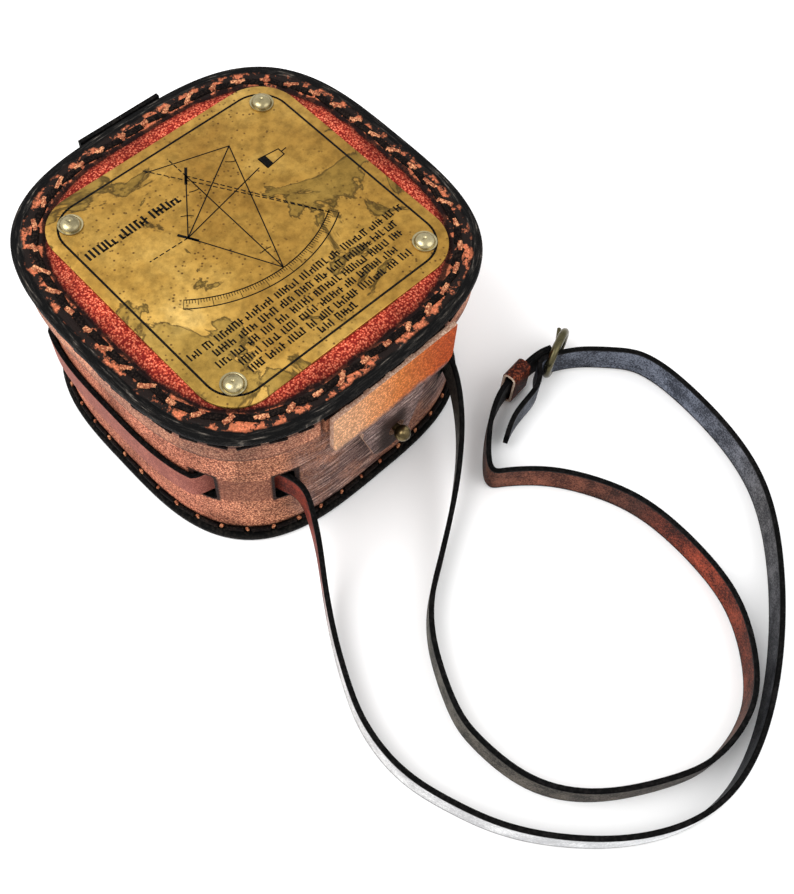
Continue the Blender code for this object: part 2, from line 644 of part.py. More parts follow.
def make_buckle(materials):
    """A centre-bar buckle standing on edge, with its prong lying on the frame's far end."""
    brass = materials["brass"]
    middle = Vector((BAR_X, BAR_Y, BUCKLE_HEIGHT / 2))
    line_length = BUCKLE_LENGTH - 2 * BUCKLE_WIRE
    line_height = BUCKLE_HEIGHT - 2 * BUCKLE_WIRE
    line = rounded_rectangle(line_length, line_height, BUCKLE_CORNER, 4)
    data = bpy.data.curves.new("buckle_line", "CURVE")
    data.dimensions = "3D"
    data.bevel_depth = BUCKLE_WIRE
    data.bevel_resolution = 1
    spline = data.splines.new("POLY")
    spline.points.add(len(line) - 1)
    spline.use_cyclic_u = True
    for point, (x, z) in zip(spline.points, line):
        point.co = (x, 0, z, 1)
    data.materials.append(brass)
    wire = bpy.data.objects.new("buckle_line", data)
    bpy.context.collection.objects.link(wire)
    mesh = bpy.data.meshes.new_from_object(wire.evaluated_get(bpy.context.evaluated_depsgraph_get()))
    bpy.data.objects.remove(wire)
    frame = bpy.data.objects.new("buckle_frame", mesh)
    bpy.context.collection.objects.link(frame)
    bar = rod("buckle_bar_tool", BAR_RADIUS, -line_height / 2, line_height / 2, brass, 12)
    combine(frame, [bar], "UNION")
    axis = axis_empty("buckle_axis", middle, (0, 0, BUCKLE_TURN))
    under(axis, frame, bar)

    hole = BAR_RADIUS + GAP
    eye = hole + PRONG_RADIUS
    half = PRONG_EYE_HEIGHT / 2
    prong = turned("buckle_prong", ((hole, -half), (eye, -half), (eye, half), (hole, half)), brass, 16)
    lift = math.asin((BUCKLE_WIRE + PRONG_RADIUS + GAP) / (BUCKLE_LENGTH / 2 - BUCKLE_WIRE))
    shank = rod("prong_shank_tool", PRONG_RADIUS, hole + PRONG_RADIUS / 2, BUCKLE_LENGTH / 2 + BUCKLE_WIRE,
                brass, 12)
    place(shank, (0, 0, 0), (0, math.pi / 2, 0))
    combine(prong, [shank], "UNION")
    prong_axis = axis_empty("prong_axis", middle, (0, 0, BUCKLE_TURN + lift))
    under(prong_axis, prong, shank)


def shade_pin_place():
    """The index shades' pin: beside the middle of the light's path between the two mirrors."""
    path = Vector((-HORIZON_X, PIVOT_Y - BAR_LEVEL, 0)).normalized()
    middle = Vector((HORIZON_X / 2, (PIVOT_Y + BAR_LEVEL) / 2, 0))
    where = middle + Vector((-path.y, path.x, 0)) * SHADE_OFFSET
    return where.x, where.y, SHADE_PIN_Z


def frame_sheet(name, outline, materials):
    """A shape cut from the frame's sheet of brass."""
    return prism(name, outline, FRAME_LOW, FRAME_HIGH, materials["brass"])


def make_sextant_frame(materials):
    limb = sector(ARC_RADIUS - LIMB_WIDTH / 2, ARC_RADIUS + LIMB_WIDTH / 2, LIMB_ANGLE, PIVOT_Y)
    frame = frame_sheet("sextant_frame", limb, materials)
    tools = [frame_sheet("apex_tool", circle(APEX_RADIUS, 32, (0, PIVOT_Y)), materials)]
    pin_x, pin_y, _ = shade_pin_place()
    half = LEG_WIDTH / 2
    pin_strut = (math.atan2(pin_x, PIVOT_Y - pin_y), math.hypot(pin_x, PIVOT_Y - pin_y))
    for number, (angle, length) in enumerate(((-LEG_ANGLE, ARC_RADIUS), (LEG_ANGLE, ARC_RADIUS), pin_strut)):
        leg = frame_sheet(f"leg_tool_{number + 1}",
                          ((-half, -length), (half, -length), (half, 0), (-half, 0)), materials)
        tools.append(place(leg, (0, PIVOT_Y, 0), (0, 0, angle)))
    low, high = BAR_LEVEL - half, BAR_LEVEL + half
    bar = ((HORIZON_SHADE_X, low), (COLLAR_X, low), (COLLAR_X, high), (HORIZON_SHADE_X, high))
    tools.append(frame_sheet("cross_bar_tool", bar, materials))
    for number, where in enumerate(((HORIZON_X, BAR_LEVEL), (COLLAR_X, BAR_LEVEL), (pin_x, pin_y))):
        tools.append(frame_sheet(f"lug_tool_{number + 1}", circle(LUG_RADIUS, 24, where), materials))
    combine(frame, tools, "UNION")
    hole = prism("pivot_hole_cutter", circle(PIVOT_RADIUS + GAP, 20, (0, PIVOT_Y)),
                 FRAME_LOW - GAP, FRAME_HIGH + GAP, materials["brass"])
    combine(frame, [hole], "DIFFERENCE")
    scale = sector(ARC_RADIUS - SCALE_WIDTH / 2, ARC_RADIUS + SCALE_WIDTH / 2, LIMB_ANGLE - SCALE_MARGIN,
                   PIVOT_Y)
    prism("arc_scale", scale, SCALE_LOW, SCALE_HIGH, materials["silvered"])


def make_feet(materials):
    """Turned feet under the apex and under each leg's end."""
    leg_x = ARC_RADIUS * math.sin(LEG_ANGLE)
    leg_y = PIVOT_Y - ARC_RADIUS * math.cos(LEG_ANGLE)
    apex_y = PIVOT_Y + APEX_RADIUS - FOOT_RADIUS - GAP
    low = BASE_THICK + GAP
    high = low + FOOT_HEIGHT
    profile = ((0, low), (0.7 * FOOT_RADIUS, low), (FOOT_RADIUS, low + FOOT_RADIUS),
               (0.6 * FOOT_RADIUS, (low + high) / 2), (FOOT_RADIUS, high), (0, high))
    for number, (x, y) in enumerate(((0, apex_y), (-leg_x, leg_y), (leg_x, leg_y))):
        place(turned(f"foot_{number + 1}", profile, materials["brass"], 16), (x, y, 0))


def shifted(outline, y):
    return [(across, along + y) for across, along in outline]


def make_index_arm(axis, materials):
    """The swinging arm with its shoe and two ears, and the vernier in the shoe's window."""
    brass = materials["brass"]
    half = ARM_WIDTH / 2
    low = SHOE_OVERLAP * SHOE_DEPTH - ARM_REACH
    high = -ARM_HEAD_RADIUS / 2
    bar = ((-half, low), (half, low), (half, high), (-half, high))
    shoe_outline = rounded_rectangle(SHOE_WIDTH, SHOE_DEPTH, SHOE_CORNER, 3)
    arm = prism("index_arm", bar, ARM_LOW, ARM_HIGH, brass)
    head = prism("arm_head_tool", circle(ARM_HEAD_RADIUS, 28), ARM_LOW, ARM_HIGH, brass)
    shoe = prism("shoe_tool", shifted(shoe_outline, SHOE_DEPTH / 2 - ARM_REACH), ARM_LOW, ARM_HIGH, brass)
    ear_low = (ARM_LOW + ARM_HIGH) / 2
    ear_high = ARM_HIGH + TANGENT_LEVEL + EAR_THICK
    ear_size = (EAR_THICK, 2 * EAR_THICK, ear_high - ear_low)
    ears = []
    for number, side in enumerate((-1, 1)):
        where = (side * EAR_SPACING / 2, -TANGENT_REACH - EAR_THICK / 2, (ear_high + ear_low) / 2)
        ears.append(block(f"ear_tool_{number + 1}", ear_size, where, brass))
    rod_hole = rod("tangent_hole_cutter", SCREW_ROD_RADIUS + GAP, -EAR_SPACING, EAR_SPACING, brass, 16)
    place(rod_hole, (0, -TANGENT_REACH, ARM_HIGH + TANGENT_LEVEL), (0, math.pi / 2, 0))
    cutters = [rod_hole]
    window = rounded_rectangle(WINDOW_WIDTH, WINDOW_DEPTH, WINDOW_CORNER, 3)
    for name, outline in (("arm_hole_cutter", circle(PIVOT_RADIUS + GAP, 20)),
                          ("window_cutter", shifted(window, -ARC_RADIUS)),
                          ("clamp_hole_cutter", circle(SCREW_ROD_RADIUS + GAP, 16, (0, -CLAMP_REACH)))):
        cutters.append(prism(name, outline, ARM_LOW - GAP, ARM_HIGH + GAP, brass))
    combine(arm, [head, shoe, *ears], "UNION")
    combine(arm, cutters, "DIFFERENCE")
    strip = rounded_rectangle(WINDOW_WIDTH - 2 * GAP, WINDOW_DEPTH / 2, WINDOW_CORNER - GAP, 3)
    vernier = prism("vernier", shifted(strip, -ARC_RADIUS), ARM_LOW, ARM_LOW + VERNIER_THICK,
                    materials["silvered"])
    under(axis, arm, head, shoe, *ears, *cutters, vernier)


def make_screws(axis, materials):
    """The clamp screw, upright in the arm, and the tangent screw, through the arm's two ears."""
    brass = materials["brass"]
    foot = ARM_HIGH + GAP
    top = foot + CLAMP_HEIGHT
    collar = CLAMP_RADIUS / 2
    clamp = turned("clamp_screw", ((0, ARM_LOW), (SCREW_ROD_RADIUS, ARM_LOW), (SCREW_ROD_RADIUS, foot),
                                   (collar, foot), (collar, foot + CLAMP_COLLAR),
                                   (CLAMP_RADIUS, foot + CLAMP_COLLAR + SCREW_EDGE),
                                   (CLAMP_RADIUS, top - SCREW_EDGE), (CLAMP_RADIUS - SCREW_EDGE, top),
                                   (0, top)), brass)
    under(axis_empty("clamp_axis", (0, -CLAMP_REACH, 0), parent=axis), clamp)
    ear = EAR_SPACING / 2 + EAR_THICK / 2
    knob = ear + GAP
    tip = knob + TANGENT_KNOB_LENGTH
    neck = TANGENT_KNOB_RADIUS - SCREW_EDGE
    tail = -ear - TANGENT_TAIL
    tangent = turned("tangent_screw", ((0, tail), (SCREW_ROD_RADIUS, tail), (SCREW_ROD_RADIUS, knob),
                                       (neck, knob), (TANGENT_KNOB_RADIUS, knob + SCREW_EDGE),
                                       (TANGENT_KNOB_RADIUS, tip - SCREW_EDGE), (neck, tip), (0, tip)), brass)
    where = (0, -TANGENT_REACH, ARM_HIGH + TANGENT_LEVEL)
    under(axis_empty("tangent_axis", where, (0, math.pi / 2, 0), axis), tangent)


def make_pivot(materials):
    low = FRAME_LOW - GAP
    foot = low - PIVOT_HEAD_HEIGHT
    profile = ((0, foot), (PIVOT_HEAD_RADIUS, foot), (PIVOT_HEAD_RADIUS, low), (PIVOT_RADIUS, low),
               (PIVOT_RADIUS, ARM_HIGH), (0, ARM_HIGH))
    place(turned("index_pivot", profile, materials["brass"], 20), (0, PIVOT_Y, 0))


def make_mirror(kind, width, axis, materials):
    """A glass plate upright before its holder's back, looking along the axis's +X."""
    brass = materials["brass"]
    wide = width + 2 * HOLDER_LIP
    back_x = -MIRROR_THICK / 2 - GAP - HOLDER_THICK / 2
    height = MIRROR_HEIGHT + HOLDER_THICK + HOLDER_LIP
    holder = block(f"{kind}_mirror_holder", (HOLDER_THICK, wide, height), (back_x, 0, height / 2), brass)
    base = block(f"{kind}_mirror_base_tool", (HOLDER_DEPTH, wide - 2 * UNION_STEP, HOLDER_THICK),
                 (back_x - HOLDER_THICK / 2 + HOLDER_DEPTH / 2, 0, HOLDER_THICK / 2), brass)
    combine(holder, [base], "UNION")
    glass = block(f"{kind}_mirror", (MIRROR_THICK, width, MIRROR_HEIGHT),
                  (0, 0, HOLDER_THICK + GAP + MIRROR_HEIGHT / 2), materials["mirror"])
    under(axis, holder, base, glass)


def make_telescope(materials):
    """A tube in a collar on the frame, with its objective in a bell at the front."""
    brass = materials["brass"]
    bore = TUBE_RADIUS - TUBE_WALL
    bell = TUBE_RADIUS + BELL_RISE
    bell_end = TUBE_START + BELL_LENGTH
    tube = turned("telescope_tube", ((bore, TUBE_START), (bell, TUBE_START), (bell, bell_end),
                                     (TUBE_RADIUS, bell_end + BELL_RISE), (TUBE_RADIUS, TUBE_END),
                                     (bore, TUBE_END)), brass, 28)
    lens = bore - GAP
    front = TUBE_START + LENS_SET
    back = front + LENS_THICK
    objective = turned("objective_lens", ((0, front - LENS_DOME), (LENS_CROWN * lens, front),
                                          (lens, front + 2 * LENS_DOME), (lens, back), (0, back)),
                       materials["glass"], 24)
    hole = TUBE_RADIUS + GAP
    outer = TUBE_RADIUS + COLLAR_WALL
    near, far = COLLAR_X - COLLAR_LENGTH / 2, COLLAR_X + COLLAR_LENGTH / 2
    collar = turned("telescope_bracket", ((hole, near), (outer, near), (outer, far), (hole, far)), brass, 28)
    for piece in (tube, objective, collar):
        place(piece, (0, BAR_LEVEL, SIGHT_Z), (0, math.pi / 2, 0))
    low = FRAME_HIGH + GAP
    high = SIGHT_Z - TUBE_RADIUS - COLLAR_WALL / 2
    post = block("bracket_post_tool", (COLLAR_LENGTH - 2 * BRACKET_STEP, POST_DEPTH, high - low),
                 (COLLAR_X, BAR_LEVEL, (high + low) / 2), brass)
    foot_size = (COLLAR_LENGTH + 6 * BRACKET_STEP, BRACKET_FOOT_DEPTH, BRACKET_FOOT_THICK)
    foot = block("bracket_foot_tool", foot_size, (COLLAR_X, BAR_LEVEL, low + BRACKET_FOOT_THICK / 2), brass)
    combine(collar, [post, foot], "UNION")


def make_draw_tube(materials):
    """The sliding tube with its eye cup and eyepiece, on an empty along the line of sight."""
    eye = DRAW_END - EYECUP_LENGTH
    inner = DRAW_RADIUS - DRAW_WALL
    draw = turned("telescope_draw_tube", ((inner, DRAW_START), (DRAW_RADIUS, DRAW_START), (DRAW_RADIUS, eye),
                                          (EYECUP_RADIUS, eye), (EYECUP_RADIUS, DRAW_END), (inner, DRAW_END)),
                  materials["brass"], 28)
    glass = inner - GAP
    back = eye + LENS_THICK
    edge = back - LENS_EYE_EDGE
    eyepiece = turned("eyepiece_lens", ((0, eye), (glass, eye), (glass, edge),
                                        (LENS_CROWN * glass, edge + LENS_DOME), (0, back)),
                      materials["glass"], 24)
    under(axis_empty("draw_axis", (0, BAR_LEVEL, SIGHT_Z), (0, math.pi / 2, 0)), draw, eyepiece)


def make_shade(name, lean, reach, along, parent, materials):
    """A round coloured glass in a ring with an arm, hung on a pin along the parent's X."""
    brass = materials["brass"]
    low, high = along - SHADE_THICK / 2, along + SHADE_THICK / 2
    step = UNION_STEP / 2
    clear = SHADE_RADIUS - SHADE_RIM
    ring = rod(name, SHADE_RADIUS, low, high, brass, 28)
    arm = block(f"{name}_arm_tool", (reach, SHADE_ARM_WIDTH, SHADE_THICK - 2 * UNION_STEP),
                (reach / 2, 0, along), brass)
    hub = rod(f"{name}_hub_tool", SHADE_HUB_RADIUS, low + step, high - step, brass, 16)
    cut = rod(f"{name}_glass_cutter", clear, low - GAP, high + GAP, brass, 28)
    hole = rod(f"{name}_hole_cutter", SHADE_PIN_RADIUS + GAP, low - GAP, high + GAP, brass, 16)
    glass = rod(f"{name}_glass", clear - GAP, low + GAP, high - GAP, materials["shade"], 24)
    for piece in (ring, cut, glass, arm):
        place(piece, (-reach, 0, 0))
    axis = axis_empty(f"{name}_axis", (0, 0, 0), (lean, 0, 0), parent)
    under(axis_empty(f"{name}_flat", (0, 0, 0), (0, math.pi / 2, 0), axis), ring, arm, hub, cut, hole, glass)
    combine(ring, [arm, hub], "UNION")
    combine(ring, [cut, hole], "DIFFERENCE")


def make_shade_pin(name, length, parent, materials):
    """A pin along the parent's X with a head at its outer end, on a small block on the frame."""
    brass = materials["brass"]
    head = SHADE_PIN_RADIUS + PIN_HEAD_EDGE
    end = length + PIN_HEAD_LENGTH
    pin = turned(name, ((0, -PIN_ROOT), (SHADE_PIN_RADIUS, -PIN_ROOT), (SHADE_PIN_RADIUS, length),
                        (head, length), (head, end), (0, end)), brass, 16)
    low = GAP - SHADE_PIN_LEVEL
    foot = block(f"{name}_block_tool", (PIN_BLOCK_THICK, PIN_BLOCK_WIDTH, head - low),
                 (-PIN_BLOCK_BACK, 0, (head + low) / 2), brass)
    under(axis_empty(f"{name}_axis", (0, 0, 0), (0, math.pi / 2, 0), parent), pin)
    under(parent, foot)
    combine(pin, [foot], "UNION")


def make_shades(materials):
    path_angle = math.atan2(PIVOT_Y - BAR_LEVEL, -HORIZON_X)
    rise = SIGHT_Z - SHADE_PIN_Z
    index_pin = axis_empty("index_pin_place", shade_pin_place(), (0, 0, path_angle))
    lean = math.atan2(SHADE_OFFSET, rise)
    reach = math.hypot(SHADE_OFFSET, rise)
    for number in range(2):
        along = SHADE_FIRST + SHADE_STEP * number
        make_shade(f"index_shade_{number + 1}", lean, reach, along, index_pin, materials)
    make_shade_pin("index_shade_pin", SHADE_FIRST + 1.5 * SHADE_STEP, index_pin, materials)
    horizon_pin = axis_empty("horizon_pin_place", (HORIZON_SHADE_X, BAR_LEVEL, SHADE_PIN_Z), (0, 0, math.pi))
    make_shade("horizon_shade", 0, rise, SHADE_FIRST, horizon_pin, materials)
    make_shade_pin("horizon_shade_pin", SHADE_FIRST + 0.5 * SHADE_STEP, horizon_pin, materials)


def make_handle(materials):
    """A wooden grip between two posts under the frame."""
    grip_z = BASE_THICK + GRIP_LEVEL
    half = HANDLE_LENGTH / 2
    middle_y = BAR_LEVEL - half
    high = FRAME_LOW - GAP
    low = grip_z - POST_SIDE / 2
    for number, side in enumerate((-1, 1)):
        y = middle_y + side * (half + GAP + POST_SIDE / 2)
        where = (HANDLE_X, y, (high + low) / 2)
        block(f"handle_post_{number + 1}", (POST_SIDE, POST_SIDE, high - low), where, materials["brass"])
    neck = GRIP_TAPER * GRIP_RADIUS
    grip = turned("handle_grip", ((0, -half), (neck, -half), (GRIP_RADIUS, -half / 2),
                                  (GRIP_RADIUS, half / 2), (neck, half), (0, half)), materials["wood"], 20)
    place(grip, (HANDLE_X, middle_y, grip_z), (math.pi / 2, 0, 0))


def make_sextant(materials):
    make_sextant_frame(materials)
    make_feet(materials)
    make_pivot(materials)
    index_axis = axis_empty("index_axis", (0, PIVOT_Y, 0))
    make_index_arm(index_axis, materials)
    make_screws(index_axis, materials)
    # the mirrors are parallel when the arm stands at the scale's zero, PARK_ANGLE inside the limb's end
    light_angle = math.atan2(PIVOT_Y - BAR_LEVEL, -HORIZON_X) / 2
    index_turn = math.pi + light_angle - (LIMB_ANGLE - PARK_ANGLE)
    index_seat = axis_empty("index_mirror_seat", (0, 0, ARM_HIGH + GAP), (0, 0, index_turn), index_axis)
    make_mirror("index", INDEX_MIRROR_WIDTH, index_seat, materials)
    horizon_place = (HORIZON_X, BAR_LEVEL, FRAME_HIGH + GAP)
    horizon_seat = axis_empty("horizon_mirror_seat", horizon_place, (0, 0, light_angle))
    make_mirror("horizon", HORIZON_MIRROR_WIDTH, horizon_seat, materials)
    make_telescope(materials)
    make_draw_tube(materials)
    make_shades(materials)
    make_handle(materials)


def build_on(axis, make, materials):
    """Runs a maker and hangs what it made, where it stands, on the empty on its body's axis."""
    before = set(bpy.data.objects)
    make(materials)
    for made in bpy.data.objects:
        if made not in before and made.parent is None:
            made.parent = axis
            made.matrix_parent_inverse = axis.matrix_basis.inverted()


clear_scene()
MATERIALS = make_materials()
make_case(MATERIALS)
make_stud(MATERIALS)
make_strap(MATERIALS)
make_buckle(MATERIALS)
LID_AXIS = axis_empty("lid_axis", (0, PANEL_HALF + GAP, SKIRT_LOW))
build_on(LID_AXIS, make_lid, MATERIALS)
build_on(LID_AXIS, make_flap, MATERIALS)
LIFT_AXIS = axis_empty("lift_axis", (0, 0, 0))
build_on(LIFT_AXIS, make_sextant, MATERIALS)
bpy.context.view_layer.update()
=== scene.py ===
import json
import math
import random

import bmesh
import bpy
from mathutils import Matrix, Vector

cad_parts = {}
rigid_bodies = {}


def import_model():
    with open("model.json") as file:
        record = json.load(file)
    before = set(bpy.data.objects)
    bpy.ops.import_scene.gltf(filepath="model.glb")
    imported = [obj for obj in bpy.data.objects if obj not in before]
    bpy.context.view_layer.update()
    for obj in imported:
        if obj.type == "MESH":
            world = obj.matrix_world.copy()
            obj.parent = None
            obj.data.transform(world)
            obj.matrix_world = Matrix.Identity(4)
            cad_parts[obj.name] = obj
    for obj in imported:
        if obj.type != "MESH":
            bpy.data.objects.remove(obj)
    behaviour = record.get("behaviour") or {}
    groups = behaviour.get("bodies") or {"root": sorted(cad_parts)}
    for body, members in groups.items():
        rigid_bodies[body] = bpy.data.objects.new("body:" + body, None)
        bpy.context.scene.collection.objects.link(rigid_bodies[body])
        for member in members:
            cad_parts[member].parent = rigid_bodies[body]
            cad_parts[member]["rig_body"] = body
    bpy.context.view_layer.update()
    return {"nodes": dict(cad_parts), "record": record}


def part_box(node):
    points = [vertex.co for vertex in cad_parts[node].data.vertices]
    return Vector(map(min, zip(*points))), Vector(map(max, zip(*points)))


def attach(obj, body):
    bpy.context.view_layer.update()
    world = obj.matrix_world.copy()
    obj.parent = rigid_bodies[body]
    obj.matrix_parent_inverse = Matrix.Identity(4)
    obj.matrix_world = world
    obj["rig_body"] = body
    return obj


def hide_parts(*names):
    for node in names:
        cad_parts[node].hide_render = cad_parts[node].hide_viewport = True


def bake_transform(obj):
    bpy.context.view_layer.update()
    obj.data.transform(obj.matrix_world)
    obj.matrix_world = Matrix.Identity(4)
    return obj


# A sextant's hand-laced leather carrying case with its strap, on a pale studio floor. Metres, +Z up.
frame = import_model()
print("frame loaded")

millimetre = 0.001
cornerPower = 3.2                       # how square the case is in plan
outlineSteps = 192


def topOf(node):
    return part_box(node)[1].z


def bottomOf(node):
    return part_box(node)[0].z


def halfOf(node):
    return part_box(node)[1].x


cameraSet = {
    "place": (-0.141359, -0.194552, 0.376073),
    "right": (0.72002, -0.69221, 0.04914),
    "up": (0.5931, 0.6506, 0.4742),
    "forward": (0.36022, 0.31229, -0.87904),
    "lens": 47.12,
}


def makeCamera():
    data = bpy.data.cameras.new("camera")
    data.lens = cameraSet["lens"]
    data.clip_start = 0.01
    data.clip_end = 20
    camera = bpy.data.objects.new("camera", data)
    bpy.context.scene.collection.objects.link(camera)
    axes = (Vector(cameraSet["right"]), Vector(cameraSet["up"]), -Vector(cameraSet["forward"]))
    turn = Matrix([axis.normalized() for axis in axes]).transposed().to_4x4()
    camera.matrix_world = Matrix.Translation(cameraSet["place"]) @ turn
    bpy.context.scene.camera = camera


def makeLight(name, size, power, place, target):
    data = bpy.data.lights.new(name, "AREA")
    data.shape = "DISK"
    data.size = size
    data.energy = power
    light = bpy.data.objects.new(name, data)
    bpy.context.scene.collection.objects.link(light)
    light.location = place
    light.rotation_euler = (Vector(target) - Vector(place)).to_track_quat("-Z", "Y").to_euler()


makeCamera()
print("camera set")


def newFinish(name, roughness, metallic=0.0, gloss=0.05):
    material = bpy.data.materials.new(name)
    material.use_nodes = True
    tree = material.node_tree
    shader = tree.nodes["Principled BSDF"]
    shader.inputs["Roughness"].default_value = roughness
    shader.inputs["Metallic"].default_value = metallic
    shader.inputs["Specular IOR Level"].default_value = gloss
    spot = tree.nodes.new("ShaderNodeTexCoord").outputs["Object"]
    return material, tree, shader, spot


def stretched(tree, vector, scale):
    mapping = tree.nodes.new("ShaderNodeMapping")
    mapping.inputs["Scale"].default_value = scale
    tree.links.new(vector, mapping.inputs["Vector"])
    return mapping.outputs[0]


def noiseOf(tree, vector, scale, detail=4.0, rough=0.6, distortion=0.0):
    noise = tree.nodes.new("ShaderNodeTexNoise")
    noise.inputs["Scale"].default_value = scale
    noise.inputs["Detail"].default_value = detail
    noise.inputs["Roughness"].default_value = rough
    noise.inputs["Distortion"].default_value = distortion
    tree.links.new(vector, noise.inputs["Vector"])
    return noise.outputs["Fac"]


def cellsOf(tree, vector, scale, feature="F1"):
    cells = tree.nodes.new("ShaderNodeTexVoronoi")
    cells.feature = feature
    cells.inputs["Scale"].default_value = scale
    tree.links.new(vector, cells.inputs["Vector"])
    return cells.outputs["Distance"]


def rampOf(tree, factor, stops):
    ramp = tree.nodes.new("ShaderNodeValToRGB")
    band = ramp.color_ramp
    while len(band.elements) < len(stops):
        band.elements.new(0.5)
    for element, (where, colour) in zip(band.elements, stops):
        element.position = where
        element.color = (*colour, 1) if len(colour) == 3 else colour
    tree.links.new(factor, ramp.inputs["Fac"])
    return ramp.outputs["Color"]


def greyRamp(tree, factor, stops):
    return rampOf(tree, factor, [(where, (level, level, level)) for where, level in stops])


def mixOf(tree, factor, first, second, blend="MIX"):
    mix = tree.nodes.new("ShaderNodeMix")
    mix.data_type = "RGBA"
    mix.blend_type = blend
    for socket, value in ((mix.inputs[0], factor), (mix.inputs[6], first), (mix.inputs[7], second)):
        if isinstance(value, (int, float)):
            socket.default_value = value
        elif isinstance(value, tuple):
            socket.default_value = (*value, 1)
        else:
            tree.links.new(value, socket)
    return mix.outputs[2]


def mathOf(tree, kind, first, second=0.0):
    step = tree.nodes.new("ShaderNodeMath")
    step.operation = kind
    for socket, value in zip(step.inputs, (first, second)):
        if isinstance(value, (int, float)):
            socket.default_value = value
        else:
            tree.links.new(value, socket)
    return step.outputs[0]


def between(tree, value, low, high):
    span = tree.nodes.new("ShaderNodeMapRange")
    span.interpolation_type = "SMOOTHSTEP"
    span.inputs["From Min"].default_value = low
    span.inputs["From Max"].default_value = high
    tree.links.new(value, span.inputs["Value"])
    return span.outputs["Result"]


def partsOf(tree, vector):
    split = tree.nodes.new("ShaderNodeSeparateXYZ")
    tree.links.new(vector, split.inputs[0])
    return split.outputs


def joined(tree, x, y, z):
    join = tree.nodes.new("ShaderNodeCombineXYZ")
    for socket, value in zip(join.inputs, (x, y, z)):
        tree.links.new(value, socket)
    return join.outputs[0]


def attributeOf(tree, name):
    read = tree.nodes.new("ShaderNodeAttribute")
    read.attribute_name = name
    return read.outputs["Fac"]


def addBump(tree, shader, height, strength, distance):
    bump = tree.nodes.new("ShaderNodeBump")
    bump.inputs["Strength"].default_value = strength
    bump.inputs["Distance"].default_value = distance
    tree.links.new(height, bump.inputs["Height"])
    tree.links.new(bump.outputs[0], shader.inputs["Normal"])


# Pebbled leather: raised cells with creases between them.
def grainOf(tree, spot, scale):
    wander = mixOf(tree, 0.0010, spot, noiseColour(tree, spot, scale * 0.6), "ADD")
    return cellsOf(tree, wander, scale)


def noiseColour(tree, vector, scale):
    noise = tree.nodes.new("ShaderNodeTexNoise")
    noise.inputs["Scale"].default_value = scale
    tree.links.new(vector, noise.inputs["Vector"])
    return noise.outputs["Color"]


# Light on the raised grain, dark in the creases, with broad mottling.
def leatherColour(tree, spot, light, middle, dark, grainScale):
    grain = grainOf(tree, spot, grainScale)
    pebble = rampOf(tree, grain, ((0.12, light), (0.36, middle), (0.64, dark)))
    mottle = greyRamp(tree, noiseOf(tree, spot, 70, 5), ((0.34, 0.50), (0.62, 1.0)))
    fine = greyRamp(tree, noiseOf(tree, spot, 2000, 2), ((0.30, 0.62), (0.68, 1.18)))
    colour = mixOf(tree, 1.0, mixOf(tree, 1.0, pebble, mottle, "MULTIPLY"), fine, "MULTIPLY")
    return colour, grain


